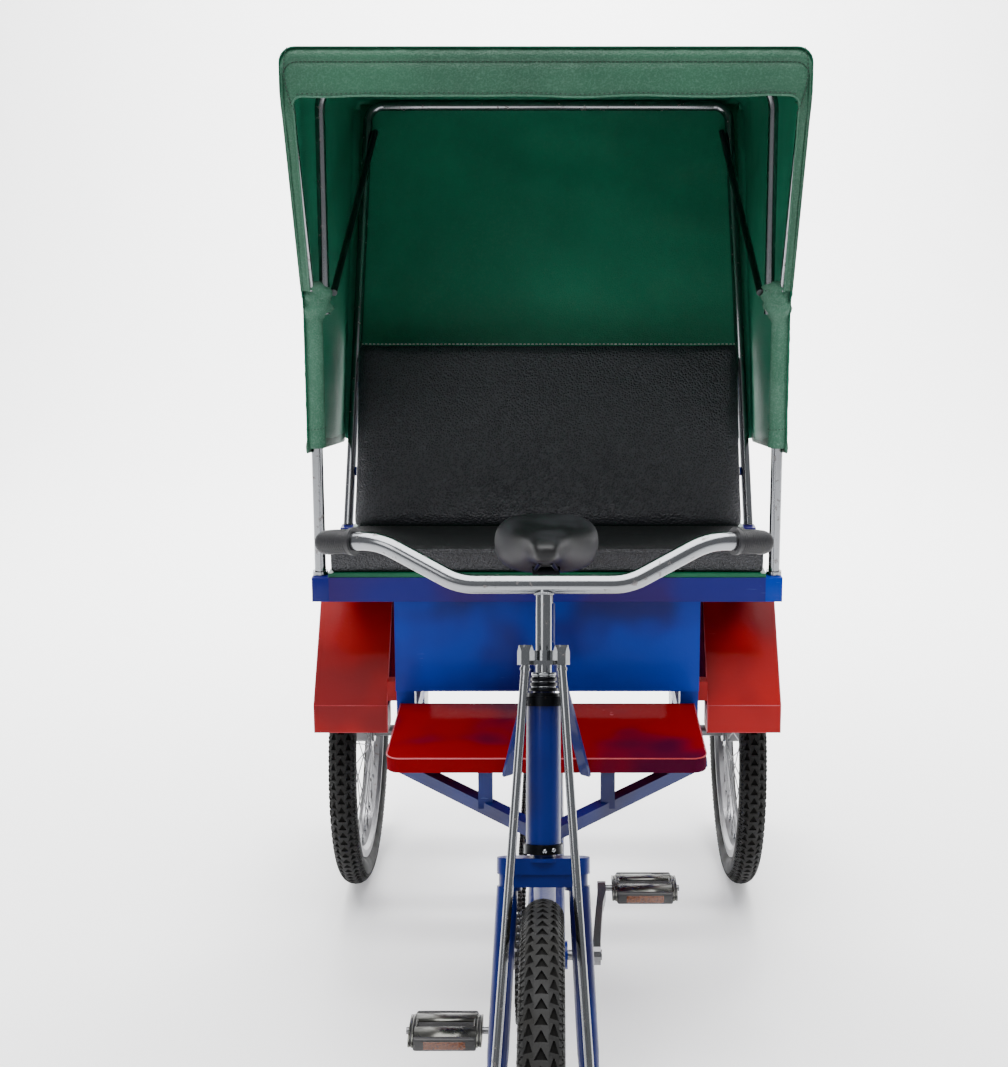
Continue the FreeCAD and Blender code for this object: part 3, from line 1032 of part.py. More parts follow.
# Posts, hoop, bows and braces of the hood
def make_hood_frame():
    half = POST_SPREAD / 2.0
    foot = RAIL_FACE + GAP
    posts = []
    for side in (-1.0, 1.0):
        post = rod(Vector(side * half, POST_Y, foot), Vector(side * half, POST_Y, JOINT_HEIGHT), POST_RADIUS)
        flange = Part.makeCylinder(POST_RADIUS + 4.0, 8.0, Vector(side * half, POST_Y, foot))
        posts.append(fuse([post, flange]))
    parts["front_posts"] = Part.makeCompound(posts)

    bow_half = BOW_SPREAD / 2.0
    z0 = JOINT_HEIGHT - 40.0
    points = [
        Vector(-bow_half + POST_RADIUS, POST_Y, z0), Vector(-bow_half + POST_RADIUS, POST_Y, BOW_TOP),
        Vector(bow_half - POST_RADIUS, POST_Y, BOW_TOP), Vector(bow_half - POST_RADIUS, POST_Y, z0),
    ]
    parts["middle_bow"] = bent_rod(bent_path(points, BOW_CORNER), POST_RADIUS - 1.5)

    hoop = []
    for z in (foot, HOOP_TOP):
        hoop.append(Vector(-hoop_half(z), hoop_y(z), z))
    points = hoop + [Vector(-v.x, v.y, v.z) for v in reversed(hoop)]
    path = bent_path(points, 36.0)
    parts["rear_hoop"] = bent_rod(path, POST_RADIUS).cut(box(-BEYOND, BEYOND, 0.0, BEYOND, 0.0, foot))

    reach = HOOD_WIDTH / 2.0 - HOOD_CLOTH - FRONT_BOW_RADIUS - 1.0
    joint = Vector(half, POST_Y - POST_RADIUS - FRONT_BOW_RADIUS - GAP, JOINT_HEIGHT)
    top_y = HOOD_FRONT_Y + HOOD_CLOTH + FRONT_BOW_RADIUS + 1.0
    top_z = HOOD_ROOF - HOOD_CLOTH - FRONT_BOW_RADIUS - 1.0
    points = [
        Vector(-joint.x, joint.y, joint.z), Vector(-reach, top_y, top_z), Vector(reach, top_y, top_z), joint,
    ]
    front_bow = bent_rod(bent_path(points, HOOD_CORNER - HOOD_CLOTH - FRONT_BOW_RADIUS), FRONT_BOW_RADIUS)
    parts["front_bow"] = front_bow

    braces = []
    knuckles = []
    for side in (-1.0, 1.0):
        inner = side * (bow_half - POST_RADIUS - (POST_RADIUS - 1.5) - BRACE_RADIUS - 0.5)
        low = Vector(inner, POST_Y, JOINT_HEIGHT)
        top = HOOP_TOP - 60.0
        high = Vector(side * (hoop_half(top) - POST_RADIUS - BRACE_RADIUS - 0.5), hoop_y(top) - 4.0, top)
        braces.append(rod(low, high, BRACE_RADIUS))
        knuckle_x0, knuckle_x1 = sorted((side * (bow_half - POST_RADIUS), side * half))
        knuckles.append(across(9.0, knuckle_x0, knuckle_x1, POST_Y, JOINT_HEIGHT - 20.0))
        knuckles.append(box(side * half - 4.0, side * half + 4.0, POST_Y - POST_RADIUS - 10.0, POST_Y,
                            JOINT_HEIGHT - 8.0, JOINT_HEIGHT + 8.0))
    parts["hood_braces"] = Part.makeCompound(braces)
    shapes = Part.makeCompound(knuckles)
    for name in ("front_posts", "middle_bow", "front_bow"):
        shapes = shapes.cut(parts[name])
    parts["hood_knuckles"] = shapes


# Hood cover: roof, sides, front valance and back panel as one thin cloth shell
def hood_section(y, roof, half, foot, foot_y, corner, inset):
    """A cross outline of the hood at y: straight sides under a flat roof with rounded corners."""
    h = half - inset
    top = roof - inset
    r = corner - inset
    lean = (foot_y - y) / (foot - roof)

    def at(x, z):
        return Vector(x, y + (z - roof) * lean, z)

    bulge = r * (1.0 - math.sqrt(0.5))
    edges = [
        Part.LineSegment(at(-h, foot), at(-h, top - r)).toShape(),
        Part.Arc(at(-h, top - r), at(-h + bulge, top - bulge), at(-h + r, top)).toShape(),
        Part.LineSegment(at(-h + r, top), at(h - r, top)).toShape(),
        Part.Arc(at(h - r, top), at(h - bulge, top - bulge), at(h, top - r)).toShape(),
        Part.LineSegment(at(h, top - r), at(h, foot)).toShape(),
        Part.LineSegment(at(h, foot), at(-h, foot)).toShape(),
    ]
    return Part.Wire(edges)


def hood_body(inset):
    foot = 940.0
    rear_top = HOOP_TOP + POST_RADIUS + 1.0 + HOOD_CLOTH
    rear_y = hoop_y(rear_top) + (POST_RADIUS + HOOD_CLOTH + 2.0) / math.cos(math.radians(BACK_LEAN))
    rear_foot_y = rear_y - (rear_top - foot) * BACK_SLOPE
    wrap = POST_RADIUS + HOOD_CLOTH + 1.0
    rear_half = HOOP_FOOT_SPREAD / 2.0 + wrap
    shift = inset / math.cos(math.radians(BACK_LEAN))
    sections = [
        hood_section(HOOD_FRONT_Y + inset, HOOD_ROOF, HOOD_WIDTH / 2.0, foot, HOOD_FRONT_Y + inset,
                     HOOD_CORNER, inset),
        hood_section(POST_Y, HOOD_ROOF - 2.0, POST_SPREAD / 2.0 + wrap, foot, POST_Y, HOOD_CORNER, inset),
        hood_section(rear_y - shift, rear_top, rear_half, foot, rear_foot_y - shift, HOOD_CORNER, inset),
    ]
    return Part.makeLoft(sections, True, True)


def make_hood_cover():
    shell = hood_body(0.0).cut(hood_body(HOOD_CLOTH))
    sleeve_y = POST_Y - POST_RADIUS - 2.0 * FRONT_BOW_RADIUS - 6.0
    rear_low = hoop_y(REAR_HEM)
    gusset = VALANCE_BOTTOM - 40.0
    window = side_plate(
        [(HOOD_FRONT_Y + HOOD_CLOTH + 1.0, gusset), (HOOD_FRONT_Y + 26.0, gusset),
         (sleeve_y, JOINT_HEIGHT + 8.0), (sleeve_y, SLEEVE_HEM), (rear_low, REAR_HEM),
         (BEYOND, REAR_HEM), (BEYOND, 0.0), (0.0, 0.0), (0.0, gusset)], -BEYOND, BEYOND)
    mouth = box(-BEYOND, BEYOND, 0.0, HOOD_FRONT_Y + HOOD_CLOTH + 1.0, 0.0, VALANCE_BOTTOM)
    opening_half = HOOD_WIDTH / 2.0 - HOOD_CLOTH - 6.0
    back_room = box(-opening_half + 16.0, opening_half - 16.0, POST_Y + 60.0, BEYOND, 0.0, BACK_PANEL_HEM)
    cover = shell.cut(window).cut(mouth)
    parts["hood_cover"] = cover.cut(back_room)


def main():
    make_wheels()
    make_rear_axle()
    tip = make_fork()
    make_truss(tip)
    make_handlebar()
    make_main_frame()
    make_lower_stays()
    make_frame_arms()
    make_flat_stays()
    make_chassis()
    make_seat_frame()
    make_apron()
    make_footboard()
    make_mudguards()
    face_y, foot_z = make_seat()
    make_back_bars(face_y, foot_z)
    make_saddle()
    make_cranks()
    make_pedals()
    make_chain()
    make_hood_frame()
    make_hood_cover()
    os.makedirs("parts", exist_ok=True)
    for name, shape in parts.items():
        placed = shape.copy()
        placed.translate(Vector(0, -ORIGIN_Y, 0))
        placed.exportStep(os.path.join("parts", name + ".step"))


main()
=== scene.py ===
import math

import bmesh
import bpy
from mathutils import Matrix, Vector, noise


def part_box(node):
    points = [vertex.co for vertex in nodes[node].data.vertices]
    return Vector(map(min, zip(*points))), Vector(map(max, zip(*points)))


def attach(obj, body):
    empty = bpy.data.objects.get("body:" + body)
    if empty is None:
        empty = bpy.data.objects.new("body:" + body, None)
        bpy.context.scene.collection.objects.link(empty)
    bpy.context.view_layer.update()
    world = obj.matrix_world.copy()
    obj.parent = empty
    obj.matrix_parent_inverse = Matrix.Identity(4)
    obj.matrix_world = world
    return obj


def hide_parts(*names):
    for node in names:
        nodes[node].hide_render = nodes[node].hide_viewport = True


# The cycle rickshaw stands on its three wheels, its front wheel towards the camera (-Y).
# Lengths are in metres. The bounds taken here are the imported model's own.
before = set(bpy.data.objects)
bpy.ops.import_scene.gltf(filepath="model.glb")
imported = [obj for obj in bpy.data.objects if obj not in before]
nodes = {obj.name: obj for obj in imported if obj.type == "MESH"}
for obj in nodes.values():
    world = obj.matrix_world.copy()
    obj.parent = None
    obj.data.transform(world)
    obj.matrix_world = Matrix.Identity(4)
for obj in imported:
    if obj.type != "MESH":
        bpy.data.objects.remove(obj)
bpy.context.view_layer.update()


def middle(node):
    """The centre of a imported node's box."""
    low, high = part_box(node)
    return (low + high) / 2.0


front_axle = middle("front_tyre")

# The floor is a plain pale sheet with a weak glow, and curves up into a wall far behind the vehicle.
# A wide soft lamp hangs over it, a second lights the front from the left, and a third washes the
# wall.
floor_reach, wall_y, wall_height, wall_curve, curve_steps = 12.0, 7.5, 6.0, 3.0, 16
floor_profile = [(-floor_reach, 0.0), (wall_y - wall_curve, 0.0)]
for step in range(1, curve_steps + 1):
    turn = math.radians(90.0 * step / curve_steps)
    floor_profile.append((wall_y - wall_curve * (1.0 - math.sin(turn)), wall_curve * (1.0 - math.cos(turn))))
floor_profile.append((wall_y, wall_height))
floor_mesh = bpy.data.meshes.new("floor")
floor_mesh.from_pydata([(x, y, z) for y, z in floor_profile for x in (-floor_reach, floor_reach)], [],
                       [(2 * i, 2 * i + 1, 2 * i + 3, 2 * i + 2) for i in range(len(floor_profile) - 1)])
floor_mesh.shade_smooth()
floor = bpy.data.objects.new("floor", floor_mesh)
bpy.context.scene.collection.objects.link(floor)


class Socket:
    """A node's output that can be used in sums: each sum adds one Math node."""

    def __init__(self, tree, link):
        self.tree = tree
        self.link = link

    def node(self, kind, settings=None, inputs=None, output=0):
        """Adds one node, its settings before the values or links of its sockets."""
        made = self.tree.nodes.new(kind)
        for name, value in (settings or {}).items():
            if name == "stops":
                stops = made.color_ramp.elements
                while len(stops) < len(value):
                    stops.new(0.5)
                for stop, (place, colour) in zip(stops, value):
                    stop.position = place
                    stop.color = (*colour, 1.0) if hasattr(colour, "__len__") else (colour, colour, colour, 1.0)
            else:
                setattr(made, name, value)
        for name, value in (inputs or {}).items():
            if isinstance(value, Socket):
                self.tree.links.new(value.link, made.inputs[name])
            else:
                made.inputs[name].default_value = value
        return Socket(self.tree, made.outputs[output])

    def sum(self, operation, first, second=0.0):
        return self.node("ShaderNodeMath", {"operation": operation}, {0: first, 1: second})

    def __add__(self, other):
        return self.sum("ADD", self, other)

    def __radd__(self, other):
        return self.sum("ADD", other, self)

    def __sub__(self, other):
        return self.sum("SUBTRACT", self, other)

    def __rsub__(self, other):
        return self.sum("SUBTRACT", other, self)

    def __mul__(self, other):
        return self.sum("MULTIPLY", self, other)

    def __rmul__(self, other):
        return self.sum("MULTIPLY", other, self)

    def between(self, low, high):
        """0 below low, 1 above high, and a smooth step between them."""
        return self.node("ShaderNodeMapRange", {"interpolation_type": "SMOOTHSTEP"},
                         {"Value": self, "From Min": low, "From Max": high})


def rgb(code):
    """A colour written as six hex digits, in the renderer's linear values."""
    levels = [int(code[i:i + 2], 16) / 255.0 for i in (0, 2, 4)]
    return tuple(v / 12.92 if v <= 0.04045 else ((v + 0.055) / 1.055) ** 2.4 for v in levels)


class Finish:
    """A new material whose patterns are laid over the object's own coordinates."""

    def __init__(self, name):
        self.material = bpy.data.materials.new(name)
        self.material.use_nodes = True
        tree = self.material.node_tree
        self.shader = tree.nodes["Principled BSDF"]
        self.place = Socket(tree, tree.nodes.new("ShaderNodeTexCoord").outputs["Object"])

    def stretched(self, x, y, z):
        return self.place.node("ShaderNodeMapping", None, {"Vector": self.place, "Scale": (x, y, z)})

    def noise(self, scale, detail=3.0, place=None):
        return self.place.node("ShaderNodeTexNoise", None,
                               {"Vector": place or self.place, "Scale": scale, "Detail": detail})

    def cells(self, scale, feature="F1", place=None):
        return self.place.node("ShaderNodeTexVoronoi", {"feature": feature},
                               {"Vector": place or self.place, "Scale": scale})

    def height(self):
        """How far above the floor a point is."""
        return self.place.node("ShaderNodeSeparateXYZ", None, {"Vector": self.place}, output="Z")

    def mix(self, share, first, second):
        """Two colours mixed, the second by a share."""
        made = self.place.node("ShaderNodeMix", {"data_type": "RGBA"}, {"Factor": share}, output=2)
        for index, colour in ((6, first), (7, second)):
            socket = made.link.node.inputs[index]
            if isinstance(colour, Socket):
                self.place.tree.links.new(colour.link, socket)
            else:
                socket.default_value = (*colour, 1.0)
        return made

    def bump(self, height, distance, strength=1.0):
        return self.place.node("ShaderNodeBump", None,
                               {"Height": height, "Distance": distance, "Strength": strength})

    def set(self, **values):
        """Sets the shader's sockets, by their names with the spaces as underlines."""
        for name, value in values.items():
            socket = self.shader.inputs[name.replace("_", " ")]
            if isinstance(value, Socket):
                self.place.tree.links.new(value.link, socket)
            elif hasattr(value, "__len__") and len(value) == 3:
                socket.default_value = (*value, 1.0)
            else:
                socket.default_value = value
        return self.material


floor_finish = Finish("pale_floor")
floor_grain = floor_finish.noise(6.0)
floor_mesh.materials.append(floor_finish.set(
    Base_Color=floor_finish.mix(floor_grain, rgb("f6f6f6"), rgb("f9f9f9")), Roughness=0.8,
    Specular_IOR_Level=0.1, Emission_Color=rgb("ffffff"), Emission_Strength=0.28))

world = bpy.data.worlds.new("pale_sky")
world.use_nodes = True
world.node_tree.nodes["Background"].inputs["Color"].default_value = (*rgb("f4f6fa"), 1.0)
world.node_tree.nodes["Background"].inputs["Strength"].default_value = 0.4
bpy.context.scene.world = world

# Each lamp has its place, the point it looks at, its width in metres and its power in watts.
lamps = (("over_lamp", (0.0, 0.2, 5.2), (0.0, 0.2, 0.0), 7.0, 880.0),
         ("front_lamp", (-2.6, -5.2, 4.0), (0.0, 0.0, 0.9), 3.0, 85.0),
         ("wall_lamp", (0.0, 3.4, 5.4), (0.0, 7.5, 1.4), 3.6, 1350.0))
for lamp_name, lamp_at, lamp_aim, lamp_size, lamp_power in lamps:
    lamp_data = bpy.data.lights.new(lamp_name, "AREA")
    lamp_data.shape = "DISK"
    lamp_data.size = lamp_size
    lamp_data.energy = lamp_power
    lamp = bpy.data.objects.new(lamp_name, lamp_data)
    lamp.location = lamp_at
    lamp.rotation_euler = (Vector(lamp_aim) - Vector(lamp_at)).to_track_quat("-Z", "Y").to_euler()
    bpy.context.scene.collection.objects.link(lamp)

# The camera stands in front of the wheel, a little above the backrest and looking slightly down.
# The picture's own centre is off the lens's axis, which the two shifts take up.
picture_width, picture_height = 1008.0, 1067.0
focal_pixels, centre_column, centre_row = 1499.7, 556.2, 409.3
camera_side, camera_back, camera_height, camera_pitch = 0.0176, 1.7455, 1.6305, 9.7
camera_data = bpy.data.cameras.new("camera")
camera_data.sensor_width = 36.0
camera_data.lens = focal_pixels * camera_data.sensor_width / picture_height
camera_data.shift_x = (picture_width / 2.0 - centre_column) / picture_height
camera_data.shift_y = (centre_row - picture_height / 2.0) / picture_height
camera = bpy.data.objects.new("camera", camera_data)
camera.location = (camera_side, front_axle.y - camera_back, camera_height)
camera.rotation_euler = (math.radians(90.0 - camera_pitch), 0.0, 0.0)
bpy.context.scene.collection.objects.link(camera)
bpy.context.scene.camera = camera


# Painted parts: welded steel tube in deep blue enamel that turns purple in places, red mudguards, a
# wine red footboard and a green seat board. The main frame, stays, arms, hangers, fork and back bars
# take a darker copy of the blue, and the mudguards' inner plates a darker red, both as painted shade.
# The paint is brushed on unevenly, is rubbed pale along folded edges, where the pale pink is also a
# painted highlight, and carries road dust near the ground.
def worn_enamel(name, colour, other, dust, scratch, gloss=0.12, soil=0.08, shine=0.1, rough=0.26):
    """A gloss enamel that varies between two colours, with dust low down and fine scratches."""
    paint = Finish(name)
    patches = paint.noise(5.0, 2.0).between(0.42, 0.66)
    speckle = paint.noise(60.0, 4.0)
    dusty = (1.0 - paint.height().between(0.05, 1.0)) * paint.noise(9.0, 5.0).between(0.35, 0.75)
    marks = paint.noise(30.0, 2.0, paint.stretched(1.0, 1.0, 9.0)).between(0.72, 0.78)
    marks = marks * paint.noise(7.0, 2.0).between(0.5, 0.65)
    base = paint.mix(patches, colour, other)
    base = paint.mix(dusty * soil, base, dust)
    base = paint.mix(marks * 0.2, base, scratch)
    peel = paint.noise(220.0, 2.0) + paint.noise(35.0, 2.0) * 1.5
    return paint.set(Base_Color=base, Roughness=rough + dusty * 0.3 + speckle * 0.14, Coat_Weight=gloss,
                     Coat_Roughness=0.1, Specular_IOR_Level=shine, Normal=paint.bump(peel, 0.0006, 0.3))


blue_paint = worn_enamel("blue_enamel", rgb("002a8e"), rgb("10145e"), rgb("44434e"), rgb("7f96cc"), 0.06)
rail_blue = worn_enamel("rail_enamel", rgb("101262"), rgb("200c50"), rgb("44434e"), rgb("7f96cc"), 0.06)
# A darker copy of the blue enamel for the main frame, stays, arms, hangers, fork and back bars: painted shade.
shaded_blue = worn_enamel("shaded_blue_enamel", rgb("01165a"), rgb("0c0c3c"), rgb("34333e"), rgb("6a80b8"), 0.3)
red_paint = worn_enamel("red_enamel", rgb("8e0305"), rgb("680207"), rgb("6a3a38"), rgb("d88a80"), 0.08)
wine_paint = worn_enamel("wine_enamel", rgb("70060c"), rgb("3c0420"), rgb("5a2a2c"), rgb("d86a78"), 0.02,
                         shine=0.0, rough=0.45)
# The mudguards' inner side plates: the same red sheet, painted darker and without shine as shade.
shaded_plate_paint = worn_enamel("plate_shaded_enamel", rgb("4e0414"), rgb("2a041c"), rgb("5a2a2c"), rgb("8a4a50"), 0.0,
                          shine=0.0, rough=0.8)
# Pale pink along the folded edges: partly rubbed paint, partly a painted highlight.
fold_wear_and_highlight_paint = worn_enamel("fold_wear_and_highlight_enamel", rgb("b05058"), rgb("96242a"), rgb("8a5a58"), rgb("e8b0a8"), 0.2)
green_paint = worn_enamel("green_enamel", rgb("0c5236"), rgb("08402c"), rgb("6c7468"), rgb("6aa88e"))


def dress(material, *names):
    """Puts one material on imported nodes, whose own shape stays."""
    for name in names:
        mesh = nodes[name].data
        mesh.materials.clear()
        mesh.materials.append(material)


dress(blue_paint, "chassis_left", "chassis_right", "cross_members", "apron")
dress(rail_blue, "seat_frame")
dress(shaded_blue, "main_frame", "lower_stays", "frame_arms", "flat_stays", "axle_hanger_left",
      "axle_hanger_right", "fork", "back_bars")
dress(red_paint, "mudguard_left", "mudguard_right", "mudguard_brackets")
dress(wine_paint, "footboard")
dress(green_paint, "seat_board")


# Bare metal: chromed tube and rods with a few dull specks, plain steel that is darker and rougher,
# oiled black steel at the head and under the saddle, and dark plated steel at the hood's joints.
def metal(name, colour, dull, roughness, rust):
    finish = Finish(name)
    specks = finish.noise(90.0, 4.0).between(0.62, 0.72)
    smears = finish.noise(14.0, 3.0)
    return finish.set(Base_Color=finish.mix(specks * rust, colour, dull), Metallic=1.0 - specks * rust * 0.6,
                      Roughness=roughness + smears * 0.12 + specks * rust * 0.3,
                      Normal=finish.bump(finish.noise(60.0, 2.0), 0.0002, 0.06))


chrome = metal("chrome", rgb("8c8e91"), rgb("4a3424"), 0.1, 0.45)
steel = metal("steel", rgb("6e6e70"), rgb("4a3626"), 0.26, 0.6)
black_steel = metal("black_steel", rgb("17181b"), rgb("4a3a2c"), 0.3, 0.3)
dark_steel = metal("dark_steel", rgb("333637"), rgb("2a2420"), 0.28, 0.3)
dress(chrome, "truss_stays", "stay_clip", "handlebar", "front_posts", "middle_bow", "rear_hoop", "seat_post",
      "front_bow")
dress(steel, "front_axle", "rear_axle", "sprocket", "cranks", "front_hub_and_spokes",
      "rear_left_hub_and_spokes", "rear_right_hub_and_spokes", "front_rim", "rear_left_rim",
      "rear_right_rim")
dress(black_steel, "headset_lower", "headset_upper", "saddle_springs")
dress(dark_steel, "hood_knuckles", "hood_braces")

# Tyres: a black casing with ribbed walls, under a moulded tread that is almost closed: three rows
# of deep arrow-shaped pits run round it, and short lugs with ragged ends stand on the shoulders. The
# casing's middle band, seen at the floor of the pits, is a darker, duller black: painted shade.
rubber = Finish("tyre_rubber")
rubber_dust = rubber.noise(22.0, 5.0).between(0.35, 0.8)
tyre_rubber = rubber.set(
    Base_Color=rubber.mix(rubber_dust, rgb("060606"), rgb("171614")), Specular_IOR_Level=0.3,
    Roughness=0.66 + rubber_dust * 0.25, Normal=rubber.bump(rubber.noise(300.0, 2.0), 0.0004, 0.4))
# Painted shade: the floor of the tread's pits in a darker black of the same rubber.
groove_shade_finish = Finish("tyre_groove_shade")
groove_shade_rubber = groove_shade_finish.set(
    Base_Color=groove_shade_finish.mix(groove_shade_finish.noise(30.0, 3.0), rgb("050505"), rgb("0e0d0c")), Roughness=0.9,
    Specular_IOR_Level=0.1)


def grid_mesh(name, rows, materials, loop_rows=False, loop_columns=False, caps=False):
    """A smooth surface through rows of points, each row as long as the next."""
    count = len(rows[0])
    points = [Vector(p) for row in rows for p in row]
    faces = []
    for i in range(len(rows) if loop_rows else len(rows) - 1):
        for k in range(count if loop_columns else count - 1):
            here, there = i * count, (i + 1) % len(rows) * count
            faces.append((here + k, here + (k + 1) % count, there + (k + 1) % count, there + k))
    if caps:
        faces.append(tuple(range(count)))
        faces.append(tuple(range((len(rows) - 1) * count, len(rows) * count)))
    mesh = bpy.data.meshes.new(name)
    mesh.from_pydata(points, [], faces)
    for material in materials:
        mesh.materials.append(material)
    if caps or (loop_rows and loop_columns):
        form = bmesh.new()
        form.from_mesh(mesh)
        bmesh.ops.recalc_face_normals(form, faces=form.faces)
        form.to_mesh(mesh)
        form.free()
    mesh.shade_smooth()
    return mesh


def piece(name, mesh):
    made = bpy.data.objects.new(name, mesh)
    bpy.context.scene.collection.objects.link(made)
    return made


def formed(name, form):
    """A mesh out of a form, which is used up."""
    mesh = bpy.data.meshes.new(name)
    form.to_mesh(mesh)
    form.free()
    return mesh


def merged(name, meshes, materials):
    """Several meshes as one, each keeping the material that it came with."""
    form = bmesh.new()
    for mesh in meshes:
        before = len(form.faces)
        form.from_mesh(mesh)
        form.faces.ensure_lookup_table()
        slots = [materials.index(m) for m in mesh.materials]
        for face in form.faces[before:]:
            face.material_index = slots[face.material_index]
        bpy.data.meshes.remove(mesh)
    whole = formed(name, form)
    for material in materials:
        whole.materials.append(material)
    return whole


def assembled(name, meshes, materials):
    """One piece made of several meshes."""
    return piece(name, merged(name, meshes, materials))


def swept(name, path, section, materials, closed=False, side=Vector((1.0, 0.0, 0.0))):
    """A section of (across, up) points carried along a path, its ends closed unless the path is."""
    rows = []
    path = [Vector(p) for p in path]
    for i, spot in enumerate(path):
        before = path[i - 1] if i or closed else spot
        after = path[(i + 1) % len(path)] if i + 1 < len(path) or closed else spot
        along = (after - before).normalized()
        side = (side - along * side.dot(along)).normalized()
        up = along.cross(side)
        shape = section(i / (len(path) - 1)) if callable(section) else section
        rows.append([spot + side * a + up * b for a, b in shape])
    return grid_mesh(name, rows, materials, loop_rows=closed, loop_columns=True, caps=not closed)


def turns(count):
    """A full turn's equal steps."""
    return [2.0 * math.pi * k / count for k in range(count)]


def circle(radius, count=12, tall=1.0):
    """Points round a circle, or round an oval where tall isn't 1."""
    return [(radius * math.cos(t), radius * tall * math.sin(t)) for t in turns(count)]


def turned(name, profile, centre, materials, steps=96):
    """A closed outline of (offset along the axle, radius) points, turned about an axle along X."""
    rows = [[centre + Vector((x, r * math.sin(t), r * math.cos(t))) for x, r in profile] for t in turns(steps)]
    return grid_mesh(name, rows, materials, loop_rows=True, loop_columns=True)


# One tree of geometry nodes sets copies of a small unit along a line, a spacing apart. It makes the
# tyres' tread, the spoke nipples, the grips' ribs, every row of stitches, the chain's links and the
# weld at the stem.
repeat_tree = bpy.data.node_groups.new("repeat_along_line", "GeometryNodeTree")
repeat_sockets = {}
for socket_name, socket_kind in (("Line", "Geometry"), ("Unit", "Object"), ("Spacing", "Float"),
                                 ("Finish", "Material")):
    repeat_sockets[socket_name] = repeat_tree.interface.new_socket(
        socket_name, in_out="INPUT", socket_type="NodeSocket" + socket_kind).identifier
repeat_tree.interface.new_socket("Copies", in_out="OUTPUT", socket_type="NodeSocketGeometry")
repeat_in = repeat_tree.nodes.new("NodeGroupInput")
repeat_out = repeat_tree.nodes.new("NodeGroupOutput")
to_curve = repeat_tree.nodes.new("GeometryNodeMeshToCurve")
to_points = repeat_tree.nodes.new("GeometryNodeCurveToPoints")
to_points.mode = "LENGTH"
unit_info = repeat_tree.nodes.new("GeometryNodeObjectInfo")
copies = repeat_tree.nodes.new("GeometryNodeInstanceOnPoints")
realize = repeat_tree.nodes.new("GeometryNodeRealizeInstances")
set_finish = repeat_tree.nodes.new("GeometryNodeSetMaterial")
for start, end in (
        (repeat_in.outputs["Line"], to_curve.inputs["Mesh"]),
        (to_curve.outputs["Curve"], to_points.inputs["Curve"]),
        (repeat_in.outputs["Spacing"], to_points.inputs["Length"]),
        (repeat_in.outputs["Unit"], unit_info.inputs["Object"]),
        (to_points.outputs["Points"], copies.inputs["Points"]),
        (to_points.outputs["Rotation"], copies.inputs["Rotation"]),
        (unit_info.outputs["Geometry"], copies.inputs["Instance"]),
        (copies.outputs["Instances"], realize.inputs["Geometry"]),
        (realize.outputs["Geometry"], set_finish.inputs["Geometry"]),
        (repeat_in.outputs["Finish"], set_finish.inputs["Material"]),
        (set_finish.outputs["Geometry"], repeat_out.inputs["Copies"])):
    repeat_tree.links.new(start, end)


def plain_mesh(made):
    """An object's mesh as its modifiers leave it."""
    bpy.context.view_layer.update()
    return bpy.data.meshes.new_from_object(made.evaluated_get(bpy.context.evaluated_depsgraph_get()))


def repeated(name, line, closed, unit_mesh, spacing, material):
    """Copies of a unit along a line: its Z follows the line, and its X the line's own side."""
    line = [Vector(p) for p in line]
    edges = [(i, i + 1) for i in range(len(line) - 1)]
    length = sum((line[i + 1] - line[i]).length for i in range(len(line) - 1))
    if closed:
        edges.append((len(line) - 1, 0))
        length += (line[0] - line[-1]).length
    guide_mesh = bpy.data.meshes.new(name + "_line")
    guide_mesh.from_pydata(line, edges, [])
    guide = piece(name + "_line", guide_mesh)
    unit = piece(name + "_unit", unit_mesh)
    modifier = guide.modifiers.new("repeat", "NODES")
    modifier.node_group = repeat_tree
    modifier[repeat_sockets["Unit"]] = unit
    modifier[repeat_sockets["Spacing"]] = length / (round(length / spacing) + 0.01)
    modifier[repeat_sockets["Finish"]] = material
    plain = plain_mesh(guide)
    plain.name = name
    plain.materials.clear()
    plain.materials.append(material)
    for face in plain.polygons:
        face.material_index = 0
    guide.modifiers.remove(modifier)
    for used in (guide, unit):
        old = used.data
        bpy.data.objects.remove(used)
        bpy.data.meshes.remove(old)
    return plain


def loop_about(centre, radius, steps=128):
    """A ring of points about an axle along X."""
    return [centre + Vector((0.0, radius * math.sin(t), radius * math.cos(t))) for t in turns(steps)]


tread_depth, tread_pitch = 0.003, 0.0192
tyre_low, tyre_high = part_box("front_tyre")
tyre_half = (tyre_high.x - tyre_low.x) / 2.0
wheel_radius = front_axle.z
casing_radius = tyre_half - tread_depth
casing_ring = wheel_radius - tyre_half
casing_wall = 0.004
bead_radius = 0.2779
rib_height = 0.0007
wall_ribs = ((66.0, 72.0), (88.0, 92.0))
groove_first, groove_last = 11, 21
# One pitch of half the tread: each plate's corners, across from the middle and along the tyre, in
# millimetres.
tread_plates = (
    ((0.0, 0.0), (8.2, 0.0), (8.2, 2.2), (0.0, 2.2)),
    ((7.4, 2.2), (8.2, 2.2), (8.2, 15.0), (0.6, 15.0)),
    ((0.0, 15.0), (8.2, 15.0), (8.2, 19.2), (0.0, 19.2)),
    ((8.2, 9.6), (21.0, 9.6), (21.0, 11.2), (8.2, 11.2)),
    ((8.2, 11.2), (9.2, 11.2), (13.4, 24.4), (8.2, 24.4)),
    ((20.6, 11.2), (21.0, 11.2), (21.0, 24.4), (15.2, 24.4)),
    ((8.2, 24.4), (21.0, 24.4), (21.0, 28.8), (8.2, 28.8)),
    ((21.0, 0.6), (25.4, 2.0), (28.4, 6.0), (21.0, 7.4)),
    ((21.0, 10.0), (27.4, 11.0), (24.0, 17.0), (21.0, 18.2)),
    ((29.6, 4.0), (34.5, 5.6), (34.5, 10.0), (28.6, 9.6)),
    ((28.6, 12.4), (33.0, 13.0), (33.0, 17.4), (27.0, 18.2)),
)


plate_root = 0.0008


